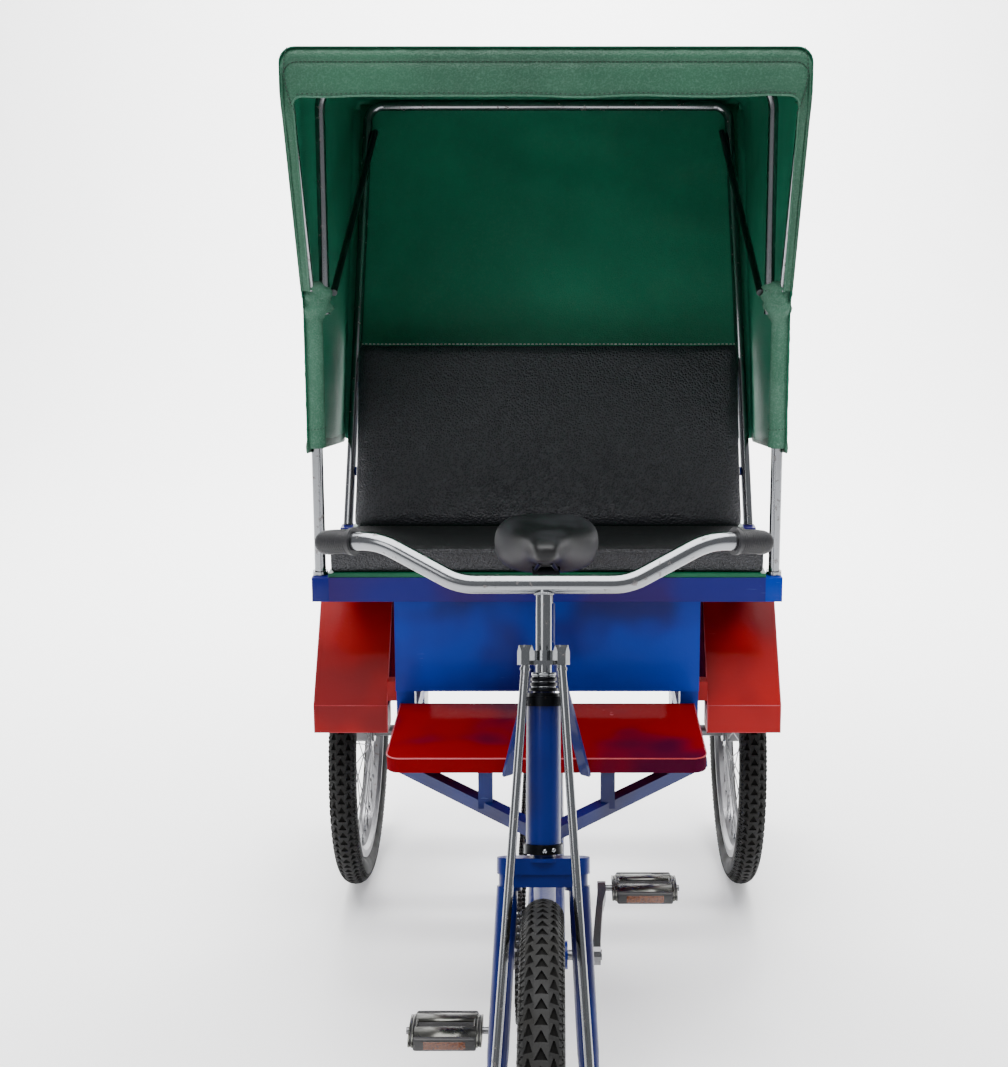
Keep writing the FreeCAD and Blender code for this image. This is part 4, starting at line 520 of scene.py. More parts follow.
def tread_unit():
    """One pitch of the tread, bent round the casing: outwards is -Y and along the tyre is Z."""
    points = []
    faces = []
    for outline in tread_plates:
        for sign in (1.0, -1.0):
            start = len(points)
            for lift in (-plate_root, tread_depth):
                for across, way in outline:
                    turn = across * 0.001 / casing_radius
                    reach = casing_radius + lift * (1.0 - 0.55 * max(0.0, turn - 0.6))
                    spread = (casing_ring + reach * math.cos(turn)) / casing_ring
                    points.append((sign * reach * math.sin(turn), -reach * math.cos(turn),
                                   (way * 0.001 - tread_pitch / 2.0) * spread))
            order = (0, 1, 2, 3) if sign > 0 else (3, 2, 1, 0)
            faces.append(tuple(start + 4 + k for k in order))
            for k in range(4):
                a, b = order[k], order[(k + 1) % 4]
                faces.append((start + a, start + b, start + 4 + b, start + 4 + a))
    mesh = bpy.data.meshes.new("tread_unit")
    mesh.from_pydata(points, [], faces)
    return mesh


def tyre(name, centre, body):
    """A tyre: its casing's outline runs from bead to bead outside, and back inside."""
    seat_angle = math.degrees(math.acos((bead_radius - casing_ring) / casing_radius))
    profile = []
    for k in range(33):
        angle = -seat_angle + 2.0 * seat_angle * k / 32.0
        on_rib = any(first < abs(angle) < last for first, last in wall_ribs)
        reach = casing_radius + (rib_height if on_rib else 0.0)
        turn = math.radians(angle)
        profile.append((reach * math.sin(turn), casing_ring + reach * math.cos(turn)))
    inner = casing_radius - casing_wall
    for k in range(13):
        angle = math.radians(seat_angle - 2.0 * seat_angle * k / 12.0)
        profile.append((inner * math.sin(angle), casing_ring + inner * math.cos(angle)))
    casing = turned(name + "_casing", profile, centre, [tyre_rubber, groove_shade_rubber], 128)
    # The band of the casing under the tread takes the painted shade.
    for face in casing.polygons:
        face.material_index = 1 if groove_first <= face.index % len(profile) < groove_last else 0
    tread = repeated(name + "_tread", loop_about(centre, casing_ring), True, tread_unit(), tread_pitch,
                     tyre_rubber)
    made = assembled(name + "_with_tread", [casing, tread], [tyre_rubber, groove_shade_rubber])
    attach(made, body)
    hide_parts(name)


wheels = (("front", "front_wheel"), ("rear_left", "rear_wheel_left"), ("rear_right", "rear_wheel_right"))
for wheel_name, wheel_body in wheels:
    tyre(wheel_name + "_tyre", middle(wheel_name + "_tyre"), wheel_body)


# Spoke nipples stand in the rims' inner faces, one for each of the thirty-six spokes, and a
# valve with a wider cap comes through the rim between two of them.
def nipple_unit():
    rows = [[(r * math.cos(t), y, r * math.sin(t)) for t in turns(8)]
            for r, y in ((0.0026, -0.001), (0.0026, 0.003), (0.0018, 0.004), (0.0018, 0.013))]
    return grid_mesh("nipple_unit", rows, [chrome], loop_columns=True, caps=True)


aluminium = metal("aluminium", rgb("8a8c8f"), rgb("4a4b4e"), 0.2, 0.3)
rim_inner, spoke_count = 0.254, 36.0
valve_turn, valve_root, valve_stem, valve_cap = math.radians(205.0), 0.004, 0.003, 0.0042
valve_steps = (0.0, 0.02, 0.022, 0.034, 0.036)
for wheel_name, wheel_body in wheels:
    hub_centre = middle(wheel_name + "_tyre")
    nipples = repeated(wheel_name + "_nipples", loop_about(hub_centre, rim_inner), True, nipple_unit(),
                       2.0 * math.pi * rim_inner / spoke_count, chrome)
    valve_out = Vector((0.0, math.sin(valve_turn), math.cos(valve_turn)))
    valve_line = [hub_centre + valve_out * (rim_inner + valve_root - d) for d in valve_steps]
    valve = swept("valve", valve_line, lambda share: circle(valve_stem if share < 0.3 else valve_cap, 10),
                  [aluminium])
    trimmings = assembled(wheel_name + "_nipples_and_valve", [nipples, valve], [chrome, aluminium])
    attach(trimmings, wheel_body)


# Grips: black rubber sleeves pushed on the bent bar ends, with fine ribs all along them and a
# domed end. The ribs are rings set along the bar's own line.
def spot(x, y, z):
    """A point from millimetres: x from the middle, y back from the front axle, z from the floor."""
    return Vector((x * 0.001, front_axle.y + y * 0.001, z * 0.001))


def rounded(corners, radius, steps=8):
    """A line through corners, each inner one rounded to a radius."""
    line = [corners[0]]
    for before, corner, after in zip(corners, corners[1:], corners[2:]):
        a, b = (before - corner).normalized(), (after - corner).normalized()
        half = a.angle(b) / 2.0
        reach = radius / math.tan(half)
        centre = corner + (a + b).normalized() * (radius / math.sin(half))
        start, end = corner + a * reach - centre, corner + b * reach - centre
        for step in range(steps + 1):
            line.append(centre + start.slerp(end, step / steps).normalized() * radius)
    return line + [corners[-1]]


grip_rubber = Finish("grip_rubber")
black_rubber = grip_rubber.set(
    Base_Color=grip_rubber.mix(grip_rubber.noise(40.0, 4.0), rgb("101011"), rgb("26262a")), Roughness=0.5,
    Normal=grip_rubber.bump(grip_rubber.noise(500.0, 2.0), 0.0002, 0.4))
dress(black_rubber, "grip_left", "grip_right")
grip_radius, rib_radius, rib_spacing, grip_bend = 0.0171, 0.0009, 0.0031, 0.06
bar_at = spot(0.0, 307.6, 1028.0)
for side in (1.0, -1.0):
    shoulder, hand, tip = (bar_at + Vector((side * x, y, z)) for x, y, z in
                           ((0.236, 0.030, 0.0555), (0.320, 0.068, 0.044), (0.324, 0.143, 0.0225)))
    inward, outward = (hand - shoulder).normalized(), (tip - hand).normalized()
    grip_line = rounded([hand - inward * 0.044, hand, tip - outward * 0.003], grip_bend)
    rib_line = [(grip_radius * math.sin(t), grip_radius * math.cos(t), 0.0) for t in turns(24)]
    rib = swept("rib", rib_line, circle(rib_radius, 5), [black_rubber], closed=True, side=Vector((0.0, 0.0, 1.0)))
    ribs = repeated("ribs", grip_line, False, rib, rib_spacing, black_rubber)
    dome = swept("dome", [tip + outward * d for d in (0.0028, 0.0046, 0.0064, 0.0076, 0.008)],
                 lambda share: circle(grip_radius * math.sqrt(max(0.02, 1.0 - share ** 2.2)), 24), [black_rubber])
    grip = assembled("grip_ribs_left" if side > 0 else "grip_ribs_right", [ribs, dome], [black_rubber])
    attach(grip, "fork")


# Hood cover: coated green cloth in one sheet over roof, sides and rear corners, stretched over the
# front bow, the middle bow and the rear hoop. It hangs a little between them, and is lined inside
# with the darker side of the cloth.
def green_cloth(name, first, second, pale, pale_share, rough):
    """Coated cloth: two greens in broad patches, a dimpled grain, and pale chalky wear."""
    cloth = Finish(name)
    patches = cloth.noise(3.2, 5.0).between(0.3, 0.7)
    chalk = cloth.noise(11.0, 6.0).between(0.45, 0.8) * cloth.noise(2.3, 2.0).between(0.35, 0.65)
    dimples = cloth.cells(330.0)
    flecks = cloth.noise(160.0, 4.0).between(0.5, 0.8)
    base = cloth.mix(patches, first, second)
    base = cloth.mix((chalk * 0.5 + flecks * 0.35 + dimples.between(0.45, 0.8) * 0.25) * pale_share, base, pale)
    creases = cloth.noise(9.0, 3.0) * 3.0 + cloth.noise(34.0, 2.0)
    return cloth.set(Base_Color=base, Roughness=rough + chalk * 0.2, Specular_IOR_Level=0.3,
                     Normal=cloth.bump(creases - dimples * 0.7, 0.002, 0.55))


cloth_outside = green_cloth("hood_outside", rgb("22503a"), rgb("1a4230"), rgb("547766"), 0.6, 0.5)
cloth_inside = green_cloth("hood_inside", rgb("0b684d"), rgb("107557"), rgb("4a8068"), 0.35, 0.55)
cloth_binding = green_cloth("hood_binding", rgb("305c48"), rgb("28523e"), rgb("6c8a7b"), 0.6, 0.6)
cloth_thickness = 0.0013
hood_corner = 28.0
hood_front, post_back, rear_back = 905.0, 1084.0, 1841.3
roof_front, roof_post, roof_rear = 1812.0, 1810.0, 1754.0
hem_front, hem_rear = 1073.0, 1000.0
rear_lean = math.radians(20.0)
side_pull, front_sag, rear_sag = 7.0, 3.0, 13.0
post_share, cover_share = 0.19, 0.985
wall_steps, corner_steps, roof_steps, depth_steps, turn_steps = 30, 6, 32, 40, 4
turn_in, tuck, crease_depth = 13.0, 15.0, 5.0


def hood_half(y):
    """The hood's half width at a distance back, in millimetres."""
    return 458.0 + 4.0 * max(0.0, (post_back - y) / (post_back - hood_front))


def hood_roof(y):
    if y < post_back:
        return roof_post + (roof_front - roof_post) * (post_back - y) / (post_back - hood_front)
    return roof_post + (roof_rear - roof_post) * (y - post_back) / (rear_back - post_back)


def opening_edge(z):
    """How far back the side's front edge is at a height."""
    edge = ((roof_front, hood_front), (1728.0, hood_front), (1688.0, 925.0), (1384.0, 1043.0), (1352.0, 1064.0),
            (900.0, 1068.0))
    for (z0, y0), (z1, y1) in zip(edge, edge[1:]):
        if z1 <= z <= z0:
            return y0 + (y1 - y0) * (z0 - z) / (z0 - z1)
    return hood_front


def rear_edge(z):
    return rear_back - (roof_rear - z) * math.tan(rear_lean)


def hood_point(kind, share, t, side):
    """A point of the cover: kind is the side wall, the corner or the roof, and t runs from the
    front edge to the rear one."""
    if kind == "wall":
        hem = hem_front - (hem_front - hem_rear) * t
        z_front = hem_front + share * (roof_front - hood_corner - hem_front)
        z_rear = hem_rear + share * (roof_rear - hood_corner - hem_rear)
        y_front, y_rear = opening_edge(z_front), rear_edge(z_rear)
        y = y_front + t * (y_rear - y_front)
        z_top = hood_roof(min(y, rear_back)) - hood_corner
        z = hem + share * (z_top - hem)
        pull = math.sin(math.pi * t) * math.sin(math.pi * min(1.0, share * 1.1 + 0.02)) * side_pull
        return Vector((side * (hood_half(y) - pull), y, z)), Vector((side, 0.0, 0.0))
    y = hood_front + t * (rear_back - hood_front)
    half, top = hood_half(y), hood_roof(y)
    span = t / post_share if t < post_share else (t - post_share) / 0.81
    sag = math.sin(math.pi * span) * (front_sag if t < post_share else rear_sag)
    if kind == "corner":
        turn = math.radians(90.0 * share)
        out = Vector((side * math.cos(turn), 0.0, math.sin(turn)))
        centre = Vector((side * (half - hood_corner), y, top - hood_corner))
        return centre + out * (hood_corner - sag * 0.35 * share), out
    across = share * (half - hood_corner)
    flat = 1.0 - (share ** 4) * 0.65
    return Vector((across, y, top - sag * flat)), Vector((0.0, 0.0, 1.0))


def creased(point, out, amount):
    """A point of the cover moved by its creases, which are longer than they are wide."""
    way = Vector((point.x * 0.9, point.y * 0.55 + point.z * 0.35, point.z * 0.8)) * 0.011
    shift = noise.noise(way) * 0.7 + noise.noise(way * 2.7 + Vector((3.1, 0.0, 0.0))) * 0.3
    return point - out * (abs(shift) * amount)


def hood_rows():
    """The cover's rows from hem to hem, each from the front edge to the turn-in behind."""
    rows = []
    stations = [("wall", k / wall_steps, 1.0) for k in range(wall_steps + 1)]
    stations += [("corner", k / corner_steps, 1.0) for k in range(1, corner_steps + 1)]
    across = [("roof", 1.0 - 2.0 * k / roof_steps, 0.0) for k in range(1, roof_steps)]
    stations += across + [(kind, share, -1.0) for kind, share, _ in reversed(stations)]
    rearward = Vector((0.0, math.cos(rear_lean), -math.sin(rear_lean)))
    for kind, share, side in stations:
        row = []
        for k in range(depth_steps + 1):
            t = (k / depth_steps) * cover_share
            point, out = hood_point(kind, share, t, side)
            edge = min(1.0, 12.0 * min(t, 1.0 - t))
            row.append(creased(point, out, crease_depth * edge))
        inward = -out
        if kind != "wall":
            inward = -Vector((out.x, out.z * math.sin(rear_lean), out.z * math.cos(rear_lean)))
        last = row[-1]
        for k in range(1, turn_steps + 1):
            turn = math.radians(90.0 * k / turn_steps)
            row.append(last + rearward * (turn_in * math.sin(turn)) + inward * (turn_in * (1.0 - math.cos(turn))))
        row.append(row[-1] + inward * tuck)
        row.append(row[-1] + inward * tuck)
        rows.append([spot(*p) for p in row])
    return rows


def outward(mesh, towards):
    """Turns a sheet's faces so that the one in its middle looks towards a direction."""
    side = sum((face.normal * face.area for face in mesh.polygons), Vector())
    if side.dot(towards) < 0.0:
        mesh.flip_normals()


def thick(name, mesh, thickness, body):
    """A sheet given its wall inwards, as a piece that rides a body."""
    made = piece(name, mesh)
    wall = made.modifiers.new("wall", "SOLIDIFY")
    wall.thickness = thickness
    wall.offset = -1.0
    wall.use_even_offset = True
    if len(mesh.materials) > 1:
        wall.material_offset = 1
        wall.material_offset_rim = 0
    plain = plain_mesh(made)
    made.modifiers.remove(wall)
    made.data = plain
    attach(made, body)
    return made


cover_mesh = grid_mesh("hood_cloth", hood_rows(), [cloth_outside, cloth_inside])
outward(cover_mesh, Vector((0.0, 0.3, 1.0)))
cover = thick("hood_cloth", cover_mesh, cloth_thickness, "frame")
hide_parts("hood_cover")

# Front valance: a band of the same cloth, rolled over the front bow and hemmed along its lower
# edge. It turns down the sides with rounded inner corners and runs on, narrower, to the joints.
valance_bottom, strip_wide, valance_curve = 1728.0, 21.0, 18.0
joint_height, joint_narrower, valance_gap = 1376.0, 5.0, 1.0
front_half = hood_half(hood_front)


def valance_outline():
    """Outer and inner points (across, back, up) of half the band, from a joint to the middle."""
    pairs = []
    top, corner = roof_front, hood_corner
    for k in range(21):
        share = k / 20.0
        z = joint_height + (top - corner - joint_height) * share
        y = opening_edge(z)
        half = hood_half(y)
        wide = strip_wide - joint_narrower * (1.0 - share)
        inner_z = joint_height + (valance_bottom - valance_curve - joint_height) * share
        pairs.append(((half, y, z), (half - wide, opening_edge(inner_z), inner_z)))
    for k in range(1, 9):
        turn = math.radians(90.0 * k / 8.0)
        outer_x = front_half - corner + corner * math.cos(turn)
        inner_x = front_half - strip_wide - valance_curve * (1.0 - math.cos(turn))
        pairs.append(((outer_x, hood_front, top - corner + corner * math.sin(turn)),
                      (inner_x, hood_front + 2.0 * (1.0 - math.sin(turn)),
                       valance_bottom - valance_curve + valance_curve * math.sin(turn))))
    for k in range(1, 25):
        share = 1.0 - k / 24.0
        pairs.append((((front_half - corner) * share, hood_front, top),
                      ((front_half - strip_wide - valance_curve) * share, hood_front, valance_bottom)))
    return pairs


# How far back the band lies from the line of the hood's front, by the share of its width from the
# outer edge.
valance_depths = ((0.0, 12.0), (0.04, 4.0), (0.12, -1.5), (0.22, -3.5), (0.29, -2.0), (0.315, 1.2), (0.34, -0.6),
                  (0.5, -1.6), (0.68, -1.0), (0.84, 0.0), (0.95, 0.6), (1.0, 2.4))
half_outline = valance_outline()
valance_rows = []
for sign, pairs in ((1.0, half_outline), (-1.0, list(reversed(half_outline[:-1])))):
    for start, end in pairs:
        wide = math.hypot(end[0] - start[0], end[2] - start[2])
        row = []
        for share, depth in valance_depths:
            x, y, z = (start[i] + (end[i] - start[i]) * share for i in range(3))
            x *= sign
            loose = max(0.0, share - 0.35) * min(1.0, wide / 80.0) ** 2
            wave = noise.noise(Vector((x * 0.014, z * 0.008, 5.0))) * 9.0 * loose
            hang = noise.noise(Vector((x * 0.009, 1.0, 9.0))) * 5.0 * loose
            pucker = noise.noise(Vector((x * 0.05, y * 0.03, z * 0.05))) * 1.6
            fall = depth * min(1.0, wide / 60.0 + 0.3)
            row.append(spot(x, y + valance_gap + fall + wave + pucker, z + hang))
        valance_rows.append(row)
valance_mesh = grid_mesh("hood_valance", valance_rows, [cloth_outside, cloth_inside])
outward(valance_mesh, Vector((0.0, -1.0, 0.0)))
valance = thick("hood_valance", valance_mesh, cloth_thickness, "frame")

# Back panel: the same cloth between the rear corners, sewn under the cover's edge and hemmed with
# a pale thread just above the backrest. It blows out a little between its seams.
panel_foot, panel_head, panel_half, panel_inset, panel_swell = 1197.0, 1742.0, 440.0, 4.5, 9.0
panel_up_steps, panel_across_steps = 30, 40
panel_rows = []
for k in range(panel_up_steps + 1):
    z = panel_foot + (panel_head - panel_foot) * k / panel_up_steps
    row = []
    for i in range(panel_across_steps + 1):
        x = panel_half - 2.0 * panel_half * i / panel_across_steps
        swell = math.sin(math.pi * k / panel_up_steps) * math.sin(math.pi * i / panel_across_steps)
        crease = noise.noise(Vector((x * 0.006, z * 0.012, 2.0))) * 4.0 * min(1.0, 6.0 * swell)
        row.append(spot(x, rear_edge(z) - panel_inset + swell * panel_swell + crease, z))
    panel_rows.append(row)
panel_mesh = grid_mesh("hood_back_panel", panel_rows, [cloth_outside, cloth_inside])
outward(panel_mesh, Vector((0.0, 1.0, 0.0)))
panel = thick("hood_back_panel", panel_mesh, cloth_thickness, "frame")

# Sleeves and bindings: a sleeve of paler cloth sewn round each front post below the joint, where
# it is bunched over the hinge, a folded hem along the bottom, and a bound edge on each panel.
post_half, post_line = 443.0, 1083.0
sleeve_top, sleeve_tall, sleeve_steps = 1392.0, 319.0, 56
sleeve_across, sleeve_ahead = 0.0185, 0.0155
bunch_end, bunch_fade, bunch_across, bunch_ahead = 0.235, 0.07, 0.95, 0.75
bindings = []
for side in (1.0, -1.0):
    sleeve_line = [spot(side * post_half, post_line, sleeve_top - sleeve_tall * k / sleeve_steps)
                   for k in range(sleeve_steps + 1)]

    def sleeve_ring(share, side=side):
        """The sleeve's ring: narrow at its neck, and swollen inwards and forwards where it bunches."""
        ring = []
        bunch = min(1.0, max(0.0, (bunch_end - share) / bunch_fade))
        neck = 1.0 - 0.45 * max(0.0, 1.0 - share / 0.03)
        for turn in turns(20):
            place = Vector((math.cos(turn) * 1.3, math.sin(turn) * 1.3, share * 26.0))
            fold = noise.noise(place) * (0.0012 + bunch * 0.0045)
            across = (sleeve_across + fold) * neck * math.cos(turn)
            ahead = (sleeve_ahead + fold) * neck * math.sin(turn)
            if across * side < 0.0:
                across *= 1.0 + bunch_across * bunch
            if ahead > 0.0:
                ahead *= 1.0 + bunch_ahead * bunch
            ring.append((across, ahead))
        return ring

    bindings.append(swept("sleeve", sleeve_line, sleeve_ring, [cloth_binding]))
    hem_line = []
    for k in range(depth_steps + 1):
        point, out = hood_point("wall", 0.0, k / depth_steps * cover_share, side)
        hem_line.append(spot(*(point + Vector((0.0, 0.0, 3.0)))))
    bindings.append(swept("hem", hem_line, circle(0.0026, 8, 4.6), [cloth_binding]))
valance_edge = [row[-1] + Vector((0.0, -0.0004, 0.0)) for row in valance_rows]
bindings.append(swept("valance_edge", valance_edge, circle(0.0021, 8), [cloth_binding],
                      side=Vector((0.0, 1.0, 0.0))))
bindings.append(swept("panel_edge", panel_rows[0], circle(0.0024, 8), [cloth_binding],
                      side=Vector((0.0, 1.0, 0.0))))
hood_bindings = assembled("hood_bindings", bindings, [cloth_binding])
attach(hood_bindings, "frame")


# Stitches: short thick threads in rows, dark along the valance, its gussets and the sleeves, and
# pale along the back panel's hem. Each row is one line with the same thread set along it.
def thread_finish(name, colour):
    thread = Finish(name)
    return thread.set(Base_Color=thread.mix(thread.noise(200.0, 2.0), colour, tuple(0.6 * c for c in colour)),
                      Roughness=0.8)


dark_thread = thread_finish("dark_thread", rgb("12241d"))
pale_thread = thread_finish("pale_thread", rgb("e6eae2"))


def stitch_unit(length, radius):
    """One thread, thin where it goes into the cloth and lifted from it between."""
    rows = []
    for share, scale, lift in ((-0.5, 0.3, 0.0), (-0.35, 0.9, 0.35), (0.0, 1.0, 0.6), (0.35, 0.9, 0.35),
                               (0.5, 0.3, 0.0)):
        rows.append([(radius * scale * math.cos(t), radius * (scale * math.sin(t) - lift), share * length)
                     for t in turns(6)])
    return grid_mesh("stitch_unit", rows, [dark_thread], loop_columns=True, caps=True)


seams = []
bow_seam, hem_seam = 5, 10
gusset = ((446.0, 1808.0), (451.0, 1790.0), (452.0, 1766.0), (449.0, 1742.0), (443.0, 1716.0), (437.0, 1700.0))
gusset_lines = [[spot(side * x, opening_edge(z) - 3.0, z) for x, z in gusset] for side in (1.0, -1.0)]
# Each row of stitches has its line, its thread, its pitch, and one thread's length and radius.
for line, thread, pitch, length, radius in (
        ([row[bow_seam] - Vector((0.0, 0.0008, 0.0)) for row in valance_rows[4:-4]],
         dark_thread, 0.0075, 0.0052, 0.0008),
        ([row[hem_seam] - Vector((0.0, 0.0012, 0.0)) for row in valance_rows[26:-26]],
         dark_thread, 0.0085, 0.004, 0.0008),
        *((gusset_line, dark_thread, 0.0065, 0.0046, 0.0008) for gusset_line in gusset_lines),
        ([p - Vector((0.0, 0.0036, -0.006)) for p in panel_rows[0]], pale_thread, 0.009, 0.006, 0.0012)):
    seams.append(repeated("seam", line, False, stitch_unit(length, radius), pitch, thread))
for side in (1.0, -1.0):
    for z in (1334.0, 1110.0):
        ring = [spot(side * post_half + 19.2 * math.sin(t), post_line - 16.2 * math.cos(t), z + 2.0 * math.sin(t))
                for t in turns(24)]
        seams.append(repeated("ring_seam", ring, True, stitch_unit(0.004, 0.0005), 0.0065, dark_thread))
hood_stitches = assembled("hood_stitches", seams, [dark_thread, pale_thread])
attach(hood_stitches, "frame")


# Bench seat: a foam cushion and a leaning backrest in black grained vinyl. Each cover is pulled
# tight over the foam and closed with seams along its edges, and the cushion's top is worn smoother
# and painted darker, as shade.
def vinyl_finish(name, dark, worn, grain, wear):
    """Black vinyl with a pebbled grain, dusty in the valleys and polished where it is sat on."""
    cover_finish = Finish(name)
    pebbles = cover_finish.cells(grain)
    polish = cover_finish.noise(3.5, 3.0).between(0.35, 0.7)
    scuffs = cover_finish.noise(60.0, 5.0, cover_finish.stretched(0.4, 1.0, 1.0)).between(0.6, 0.75)
    base = cover_finish.mix(pebbles.between(0.1, 0.6) * 0.6 + scuffs * 0.25, dark, worn)
    return cover_finish.set(
        Base_Color=base, Roughness=wear + polish * 0.12 + scuffs * 0.1, Specular_IOR_Level=0.45,
        Normal=cover_finish.bump(pebbles * -1.0 + cover_finish.noise(7.0, 3.0) * 2.0, 0.003, 0.75))


seat_vinyl = vinyl_finish("seat_vinyl", rgb("09090b"), rgb("34353a"), 250.0, 0.36)
back_vinyl = vinyl_finish("back_vinyl", rgb("0a0a0d"), rgb("34353b"), 240.0, 0.36)
# The cushion's top: a finer grain, and darker colours as painted shade.
shaded_top_vinyl = vinyl_finish("shaded_top_vinyl", rgb("060607"), rgb("17181b"), 420.0, 0.46)


def pad_mesh(name, outline, half, wide, material):
    """A closed block: an outline of (back, up) points in millimetres carried across the seat."""
    rows = [[spot(x, y, z) for y, z in outline] for x in (-half, half)]
    steps = max(2, round(2.0 * half / wide))
    rows = [[a.lerp(b, k / steps) for a, b in zip(*rows)] for k in range(steps + 1)]
    return grid_mesh(name, rows, [material], loop_columns=True, caps=True)


def applied(target, modifier):
    """Bakes a modifier into the mesh of its object."""
    plain = plain_mesh(target)
    target.modifiers.remove(modifier)
    old, target.data = target.data, plain
    bpy.data.meshes.remove(old)


def smoothed(target, levels):
    """Rounds a piece off by subdividing it."""
    rounding = target.modifiers.new("rounding", "SUBSURF")
    rounding.levels = rounding.render_levels = levels
    applied(target, rounding)
    target.data.shade_smooth()


def puffed(name, mesh, voxel, cap, pressure=4.0):
    """The pad's foam: remeshed, blown up by the cloth simulation, capped and smoothed."""
    pad = piece(name, mesh)
    materials = list(mesh.materials)
    remesh = pad.modifiers.new("remesh", "REMESH")
    remesh.mode = "VOXEL"
    remesh.voxel_size = voxel
    applied(pad, remesh)
    rest = [v.co.copy() for v in pad.data.vertices]
    cloth = pad.modifiers.new("cloth", "CLOTH")
    cloth.settings.quality = 4
    cloth.settings.use_pressure = True
    cloth.settings.uniform_pressure_force = pressure
    cloth.settings.effector_weights.gravity = 0.0
    cloth.settings.tension_stiffness = 25.0
    cloth.settings.compression_stiffness = 25.0
    cloth.settings.shear_stiffness = 10.0
    for frame_number in range(1, 21):
        bpy.context.scene.frame_set(frame_number)
    applied(pad, cloth)
    for vertex, start in zip(pad.data.vertices, rest):
        moved = vertex.co - start
        if moved.length > cap:
            vertex.co = start + moved * (cap / moved.length)
    bpy.context.scene.frame_set(1)
    smoothed(pad, 1)
    pad.data.materials.clear()
    for material in materials:
        pad.data.materials.append(material)
    return pad


seat_half, seat_step, seat_base = 423.0, 40.0, 829.6
cushion_outline = ((1063.0, seat_base), (1063.0, 852.0), (1063.0, 872.0), (1068.0, 877.0), (1120.0, 872.0),
                   (1200.0, 863.0), (1290.0, 853.0), (1380.0, 843.0), (1380.0, seat_base), (1290.0, seat_base),
                   (1180.0, seat_base))
cushion_foam = pad_mesh("seat_cushion_cover", cushion_outline, seat_half, seat_step, seat_vinyl)
cushion = puffed("seat_cushion_cover", cushion_foam, 0.006, 0.004)
# Faces that look up take the darker top vinyl, a painted shade.
cushion.data.materials.append(shaded_top_vinyl)
for face in cushion.data.polygons:
    face.material_index = 1 if face.normal.z > 0.6 else 0
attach(cushion, "frame")
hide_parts("seat_cushion")

back_up = Vector((0.0, math.sin(rear_lean), math.cos(rear_lean)))
back_out = Vector((0.0, -math.cos(rear_lean), math.sin(rear_lean)))
back_foot = Vector((0.0, 1388.0, 834.0))
back_width, back_tall, back_corner, back_top_corner = 846.0, 412.0, 16.0, 9.0
back_outline = []
for corner_x, corner_up, begin in ((1.0, 1.0, 0.0), (-1.0, 1.0, 90.0), (-1.0, 0.0, 180.0), (1.0, 0.0, 270.0)):
    radius = back_corner if corner_up == 0.0 else back_top_corner
    for k in range(7):
        turn = math.radians(begin + 15.0 * k)
        across = corner_x * (back_width / 2.0 - radius) + radius * math.cos(turn)
        up = corner_up * (back_tall - 2.0 * radius) + radius + radius * math.sin(turn)
        back_outline.append((across, up))
# The outline is carried back through the foam, drawn in by a little at both faces.
back_rows = []
for depth, shrink in ((0.0, 6.0), (2.0, 2.0), (6.0, 0.0), (42.0, 0.0), (46.0, 2.0), (48.0, 6.0)):
    row = []
    for across, up in back_outline:
        across -= math.copysign(shrink, across)
        up += shrink if up < back_tall / 2.0 else -shrink
        point = back_foot + back_up * up - back_out * depth
        row.append(spot(across, point.y, point.z))
    back_rows.append(row)
back_foam = grid_mesh("backrest_cover", back_rows, [back_vinyl], loop_columns=True, caps=True)
backrest = puffed("backrest_cover", back_foam, 0.007, 0.007, 3.0)
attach(backrest, "frame")
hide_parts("backrest")

# Seams of the bench: a thin piped edge along the top of the cushion's front face, and a row of
# stitches across the lower part of the backrest.
welt = swept("welt", [spot(x, 1062.2, 875.0) for x in range(-412, 413, 8)], circle(0.0021, 8), [seat_vinyl],
             side=Vector((0.0, 1.0, 0.0)))
stitch_height = 92.0
stitch_at = back_foot + back_up * stitch_height + back_out * 3.2
back_seam = repeated("back_seam", [spot(x, stitch_at.y, stitch_at.z) for x in range(-148, 149, 8)], False,
                     stitch_unit(0.005, 0.0006), 0.0078, dark_thread)
seat_seams = assembled("seat_seams", [welt, back_seam], [seat_vinyl, dark_thread])
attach(seat_seams, "frame")


# Saddle: a moulded black vinyl cover over foam, wide behind with a faint dip along its middle, and
# narrow at the nose. The springs below it carry it on the post.
saddle_vinyl = Finish("saddle_vinyl")
saddle_wear = saddle_vinyl.noise(12.0, 4.0).between(0.4, 0.7)
saddle_black = saddle_vinyl.set(
    Base_Color=saddle_vinyl.mix(saddle_wear, rgb("08080a"), rgb("1c1c20")),
    Roughness=0.46 + saddle_wear * 0.14, Specular_IOR_Level=0.36,
    Normal=saddle_vinyl.bump(saddle_vinyl.cells(500.0) * -1.0 + saddle_vinyl.noise(20.0, 2.0), 0.0005, 0.3))
saddle_nose, saddle_length, saddle_half, saddle_top = 683.0, 245.0, 95.5, 988.0
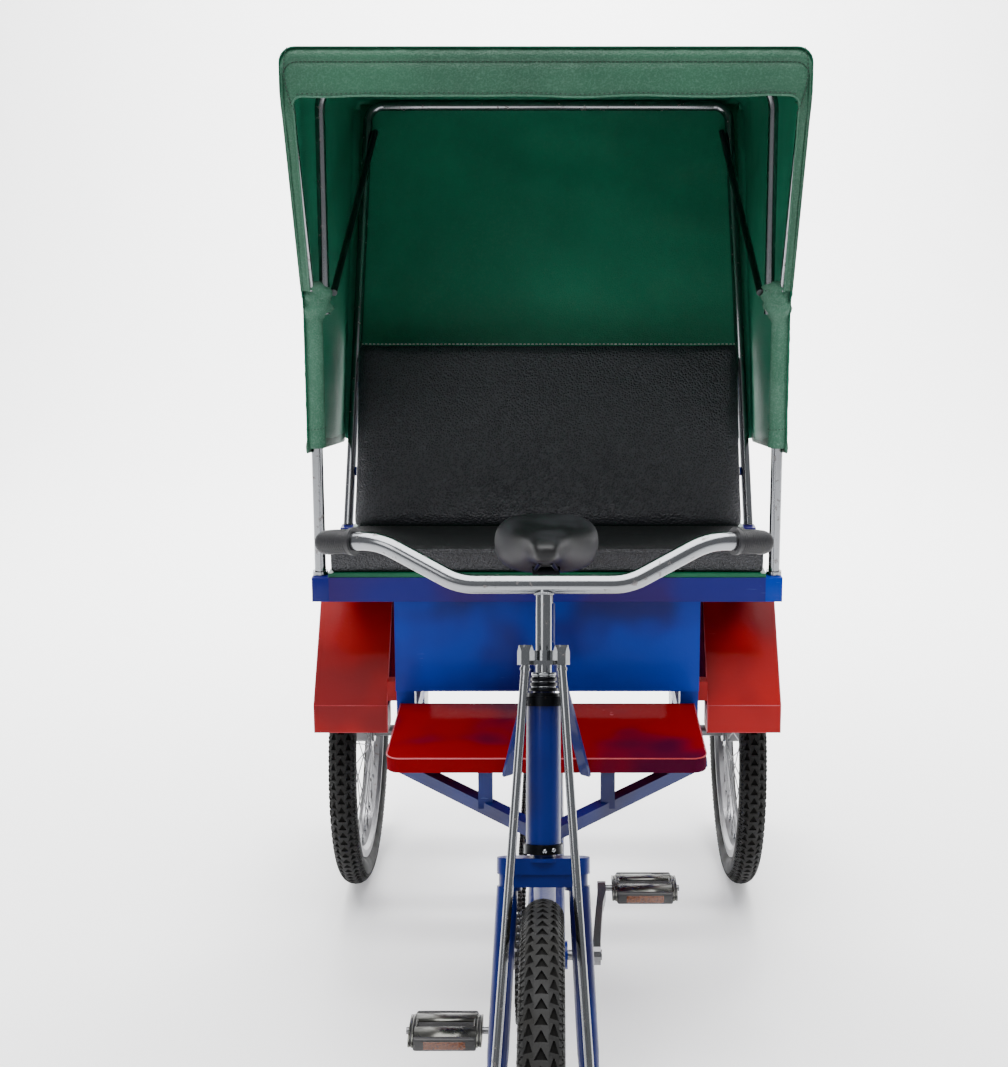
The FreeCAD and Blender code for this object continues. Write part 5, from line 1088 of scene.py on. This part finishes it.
# Each station: its share of the length, its share of the width, and how far its top and its foot are
# below the saddle's height.
saddle_stations = (
    (0.0, 0.12, 12.0, 30.0), (0.02, 0.2, 5.0, 33.0), (0.1, 0.27, -2.0, 42.0), (0.22, 0.33, -1.0, 50.0),
    (0.36, 0.44, 2.0, 60.0), (0.48, 0.63, 3.0, 76.0), (0.6, 0.84, 4.0, 92.0), (0.72, 0.96, 3.0, 102.0),
    (0.82, 1.0, 0.0, 108.0), (0.9, 0.975, 0.0, 107.0), (0.96, 0.9, 5.0, 102.0), (0.99, 0.8, 12.0, 92.0),
    (1.0, 0.66, 24.0, 80.0))
saddle_rows = []
for share, width, drop, foot in saddle_stations:
    row = []
    lobes = max(0.0, min(1.0, (share - 0.45) / 0.3))
    top, low = saddle_top - drop, saddle_top - foot
    for turn in turns(32):
        out, up = math.sin(turn), math.cos(turn)
        across = math.copysign(abs(out) ** 0.66, out) * width * saddle_half
        z = (top + low) / 2.0 + math.copysign(abs(up) ** 0.72, up) * ((top - low) / 2.0)
        if up > 0.0:
            z -= lobes * 1.5 * math.exp(-(out / 0.22) ** 2)
        else:
            across *= 1.0 - 0.08 * abs(up)
        row.append(spot(across, saddle_nose + share * saddle_length, z))
    saddle_rows.append(row)
saddle_mesh = grid_mesh("saddle_cover", saddle_rows, [saddle_black], loop_columns=True, caps=True)
saddle = piece("saddle_cover", saddle_mesh)
smoothed(saddle, 2)
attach(saddle, "frame")
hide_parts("saddle")


# Chain: half inch pitch, with figure-of-eight side plates, outer and inner pairs in turn, on
# rollers and riveted pins. It runs round the chainring and the sprocket on the right-hand side.
chain_steel = metal("chain_steel", rgb("2c2b2c"), rgb("4a3424"), 0.36, 0.7)
chain_pitch, plate_end, plate_waist, link_thickness = 0.0127, 0.0042, 0.0031, 0.0011


def link_plate(x, first):
    """A side plate from one pin to the next, at a distance from the chain's middle."""
    outline = []
    for start, turn_range, waist in ((first + chain_pitch, range(-60, 61, 30), plate_waist),
                                     (first, range(120, 241, 30), -plate_waist)):
        for turn in turn_range:
            angle = math.radians(turn)
            outline.append((start + plate_end * math.cos(angle), plate_end * math.sin(angle)))
        outline.append((first + chain_pitch / 2.0, waist))
    rows = [[(x + d, up, z) for z, up in outline] for d in (-link_thickness / 2.0, link_thickness / 2.0)]
    return grid_mesh("plate", rows, [chain_steel], loop_columns=True, caps=True)


def chain_unit():
    """Two links, an outer and an inner one, with a roller and a pin at the end of each."""
    parts = []
    for x, first in ((0.0036, -chain_pitch), (-0.0036, -chain_pitch), (0.0024, 0.0), (-0.0024, 0.0)):
        parts.append(link_plate(x, first))
    for z in (-chain_pitch, 0.0):
        for radius, reach in ((0.0039, 0.0017), (0.0019, 0.0048)):
            rows = [[(x, up, z + along) for up, along in circle(radius, 8)] for x in (-reach, reach)]
            parts.append(grid_mesh("pin", rows, [chain_steel], loop_columns=True, caps=True))
    return merged("chain_unit", parts, [chain_steel])


ring_teeth, cog_teeth = 52.0, 20.0
ring_radius = chain_pitch / (2.0 * math.sin(math.pi / ring_teeth))
cog_radius = chain_pitch / (2.0 * math.sin(math.pi / cog_teeth))
ring_at, cog_at = spot(-45.0, 597.0, 295.0), spot(-45.0, 1500.0, 334.0)
run = cog_at - ring_at
heading = math.atan2(run.z, run.y)
opening = math.acos((ring_radius - cog_radius) / run.length)
chain_line = []
for centre, radius, begin, sweep, count in (
        (ring_at, ring_radius, heading + opening, 2.0 * (math.pi - opening), 72),
        (cog_at, cog_radius, heading - opening, 2.0 * opening, 30)):
    for k in range(count + 1):
        turn = begin + sweep * k / count
        chain_line.append(centre + Vector((0.0, radius * math.cos(turn), radius * math.sin(turn))))
chain = piece("chain_links", repeated("chain_links", chain_line, True, chain_unit(), 2.0 * chain_pitch,
                                      chain_steel))
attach(chain, "frame")
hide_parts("chain")


# Pedals: bright pressed shells above and below with dark moulded ribs between them, held by a dark
# bar in front and one behind. Rings, bright and dark in turn, make the round end caps, and an amber
# reflector strip, painted a dark brownish amber as shade, is let into each bar.
def block(low, high, edge, material, steps=2):
    """A block with rounded edges, its corners given in metres."""
    form = bmesh.new()
    bmesh.ops.create_cube(form, size=1.0)
    size, centre = high - low, (high + low) / 2.0
    for vertex in form.verts:
        vertex.co = Vector([vertex.co[i] * size[i] + centre[i] for i in range(3)])
    bmesh.ops.bevel(form, geom=list(form.edges), offset=edge, segments=steps, profile=0.5, affect="EDGES")
    mesh = formed("block", form)
    mesh.materials.append(material)
    mesh.shade_smooth()
    return mesh


pedal_black = Finish("pedal_plastic")
pedal_dark = pedal_black.set(
    Base_Color=pedal_black.mix(pedal_black.noise(30.0, 4.0), rgb("121214"), rgb("2c2b2c")), Roughness=0.5,
    Normal=pedal_black.bump(pedal_black.noise(300.0, 2.0), 0.0003, 0.3))
# The reflectors' amber is painted dark brown, as shade.
amber = Finish("amber_reflector")
amber_cells = amber.cells(260.0)
shaded_amber_plastic = amber.set(Base_Color=amber.mix(amber_cells.between(0.2, 0.7), rgb("401602"), rgb("5e2c04")),
                          Roughness=0.2, Coat_Weight=0.3, Normal=amber.bump(amber_cells, 0.001, 0.6))
pedal_metal = metal("pedal_metal", rgb("5c5c58"), rgb("2a2a28"), 0.22, 0.3)
shell_outline = ((6.5, 9.4), (8.0, 12.4), (12.0, 13.6), (24.0, 13.2), (33.0, 10.6), (38.6, 6.0), (40.6, 2.6),
                 (38.6, 2.2), (36.0, 5.0), (31.6, 8.8), (23.0, 11.4), (12.0, 11.8), (9.0, 10.8), (8.0, 9.2))
shell_end, rib_end, bar_end, reflector_end = 0.0105, 0.011, 0.009, 0.026
rib_pitch, rib_half, rib_height_half, rib_up = 0.0034, 0.0011, 0.0012, 0.0098
bar_half, bar_tall, reflector_half, reflector_tall, reflector_out = 0.006, 0.0105, 0.0016, 0.0066, 0.0052
ring_pitch, ring_half, cap_inset = 0.0026, 0.0015, 0.0028
for node_name in ("pedal_left", "pedal_right"):
    low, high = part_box(node_name)
    centre = (low + high) / 2.0
    half = (high - low) / 2.0
    pieces = []

    def bar(inset, y, thick_half, z, tall_half, edge, material, steps=2):
        """A block along the pedal, stopping short of both ends."""
        pieces.append(block(Vector((low.x + inset, y - thick_half, z - tall_half)),
                            Vector((high.x - inset, y + thick_half, z + tall_half)), edge, material, steps))

    for top in (1.0, -1.0):
        for back in (1.0, -1.0):
            shell = [(back * across * 0.001, top * up * 0.001) for across, up in shell_outline]
            rows = [[Vector((x, centre.y + a, centre.z + b)) for a, b in shell]
                    for x in (low.x + shell_end, high.x - shell_end)]
            pieces.append(grid_mesh("shell", rows, [pedal_metal], loop_columns=True, caps=True))
        for k in range(4):
            bar(rib_end, centre.y + (k - 1.5) * rib_pitch, rib_half, centre.z + top * rib_up, rib_height_half,
                0.0005, pedal_dark)
    for back in (1.0, -1.0):
        y = centre.y + back * (half.y - bar_half)
        bar(bar_end, y, bar_half, centre.z, bar_tall, 0.004, pedal_dark, 3)
        bar(reflector_end, y + back * reflector_out, reflector_half, centre.z, reflector_tall, 0.001,
            shaded_amber_plastic)
    for end in (1.0, -1.0):
        for k, grow in enumerate((0.0, -0.002, 0.0, -0.002, -0.001)):
            x = centre.x + end * (half.x - cap_inset - ring_pitch * (4 - k))
            rows = [[Vector((x + d, centre.y + (half.y + grow) * math.cos(t),
                             centre.z + (half.z + grow * 0.6) * math.sin(t))) for t in turns(28)]
                    for d in (-ring_half, ring_half)]
            pieces.append(grid_mesh("cap", rows, [pedal_dark if k % 2 else pedal_metal], loop_columns=True,
                                    caps=True))
    pedal = assembled(node_name + "_detailed", pieces, [pedal_metal, pedal_dark, shaded_amber_plastic])
    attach(pedal, node_name)
    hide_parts(node_name)


# Sheet steel trimmings of the body: an inner side plate, painted a darker red than the mudguard as
# shade, closes each mudguard behind its sloping front and is bolted on, every folded edge is rubbed
# pale and carries a painted highlight in pale pink, and a blue cap closes the front corner of each
# seat rail.
def bolt_head(at, towards, radius, material):
    """A domed bolt head, its base at a point and its top towards a direction."""
    line = [at + towards * (radius * d) for d in (-0.3, 0.3, 0.6, 0.8, 0.85)]
    wide = (1.0, 1.0, 0.85, 0.5, 0.15)
    return swept("bolt_head", line, lambda share: circle(radius * wide[round(share * 4.0)], 10), [material])


plate_side, plate_thickness, fold_inset, guard_inner, guard_outer = 318.2, 1.6, 0.9, 319.0, 467.0
plate_outline = ((1107.0, 544.0), (1231.0, 719.0), (1300.0, 719.0), (1300.0, 544.0))
plate_bolts, plate_bolt_radius = ((1267.0, 566.0), (1192.0, 560.0), (1240.0, 690.0)), 0.0052
fold_line = ((1105.3, 489.0), (1105.3, 543.0), (1230.2, 719.7), (1768.0, 719.7))
cross_folds = ((1105.5, 543.2), (1105.6, 487.0))
side_fold_radius, cross_fold_radius, board_fold_radius = 0.0011, 0.0008, 0.0014
cap_low, cap_high, cap_edge = Vector((0.0167, 0.0215, 0.0243)), Vector((0.0167, 0.02, 0.0243)), 0.0016
board_front, board_back, board_half, board_corner, board_top = 824.0, 1100.0, 292.0, 26.0, 550.0
trims = []
for side in (1.0, -1.0):
    rows = [[spot(side * x, y, z) for y, z in plate_outline]
            for x in (plate_side - plate_thickness / 2.0, plate_side + plate_thickness / 2.0)]
    plate = grid_mesh("plate", rows, [shaded_plate_paint], loop_columns=True, caps=True)
    plate.shade_flat()
    trims.append(plate)
    for y, z in plate_bolts:
        trims.append(bolt_head(spot(side * (plate_side - 0.6), y, z), Vector((-side, 0.0, 0.0)),
                               plate_bolt_radius, steel))
    # Folded edges: thin rods in pale pink, partly rubbed paint and partly a painted highlight.
    for x in (guard_inner + fold_inset, guard_outer - fold_inset):
        path = [spot(side * x, y, z) for y, z in fold_line]
        trims.append(swept("fold", path, circle(side_fold_radius, 6), [fold_wear_and_highlight_paint]))
    for y, z in cross_folds:
        path = [spot(side * x, y, z) for x in (guard_inner + 2.0, guard_outer - 2.0)]
        trims.append(swept("fold", path, circle(cross_fold_radius, 6), [fold_wear_and_highlight_paint],
                           side=Vector((0.0, 1.0, 0.0))))
    rail_corner = spot(side * 439.5, 1081.0, 796.0)
    trims.append(block(rail_corner - cap_low, rail_corner + cap_high, cap_edge, blue_paint))
board_edge = rounded([spot(-board_half, board_back, board_top), spot(-board_half, board_front, board_top),
                      spot(board_half, board_front, board_top), spot(board_half, board_back, board_top)],
                     board_corner * 0.001)
board_edge = [p + Vector((0.0, 0.0004, -0.0006)) for p in board_edge]
trims.append(swept("fold", board_edge, circle(board_fold_radius, 6), [fold_wear_and_highlight_paint],
                   side=Vector((0.0, 0.0, 1.0))))
trimmings = assembled("body_trimmings", trims, [shaded_plate_paint, fold_wear_and_highlight_paint, blue_paint, steel])
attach(trimmings, "frame")


# Head bearings: the lock nut is a stack of turned rings, bright and dark in turn, and two bolt heads
# pinch the lower cup. A ring of weld joins the stem to the bar.
def lathe(name, base, axis, profile, material, count=28):
    """A solid turned about any axis, from (distance along it, radius) points."""
    side = axis.orthogonal().normalized()
    up = axis.cross(side)
    rows = [[base + axis * along + (side * math.cos(t) + up * math.sin(t)) * radius for t in turns(count)]
            for along, radius in profile]
    return grid_mesh(name, rows, [material], loop_columns=True, caps=True)


head_axis = (middle("headset_upper") - middle("headset_lower")).normalized()
nut_at = middle("lock_nut")
# Each ring's start along the head's axis, its radius and its height, in millimetres.
nut_rings = ((-13.0, 20.5, 4.6, black_steel), (-8.4, 17.5, 2.6, chrome), (-5.8, 18.6, 4.8, black_steel),
             (-1.0, 16.6, 2.2, chrome), (1.2, 18.2, 5.0, black_steel), (6.2, 16.4, 2.4, chrome),
             (8.6, 17.6, 4.4, chrome))
rings = []
for along, radius, tall, material in nut_rings:
    edge = min(0.7, tall / 4.0)
    profile = ((along, radius - edge), (along + edge, radius), (along + tall - edge, radius),
               (along + tall, radius - edge))
    rings.append(lathe("ring", nut_at, head_axis, [(a * 0.001, r * 0.001) for a, r in profile], material))
nut = assembled("lock_nut_rings", rings, [black_steel, chrome])
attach(nut, "frame")
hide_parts("lock_nut")

cup_radius, bolt_rise, bolt_out, bolt_radius = 0.027, 0.008, 0.0006, 0.0034
bolt_heads = []
for x in (0.002, 0.0135):
    towards = Vector((x, -math.sqrt(cup_radius ** 2 - x ** 2), 0.0)).normalized()
    bolt_at = middle("headset_lower") + head_axis * bolt_rise + towards * (cup_radius + bolt_out)
    bolt_heads.append(bolt_head(bolt_at, towards, bolt_radius, chrome))
cup_bolts = assembled("lower_cup_bolts", bolt_heads, [chrome])
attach(cup_bolts, "frame")


stem_radius, bar_radius, bead_size, bead_spacing = 0.0125, 0.0135, 0.0021, 0.0026


def weld_unit():
    form = bmesh.new()
    bmesh.ops.create_icosphere(form, subdivisions=1, radius=bead_size)
    mesh = formed("weld_unit", form)
    mesh.shade_smooth()
    return mesh


weld_across = Vector((1.0, 0.0, 0.0))
weld_side = head_axis.cross(weld_across).normalized()
weld_ring = [bar_at - head_axis * bar_radius + (weld_across * math.cos(t) + weld_side * math.sin(t)) * stem_radius
             for t in turns(24)]
welds = piece("stem_weld", repeated("stem_weld", weld_ring, True, weld_unit(), bead_spacing, chrome))
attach(welds, "fork")
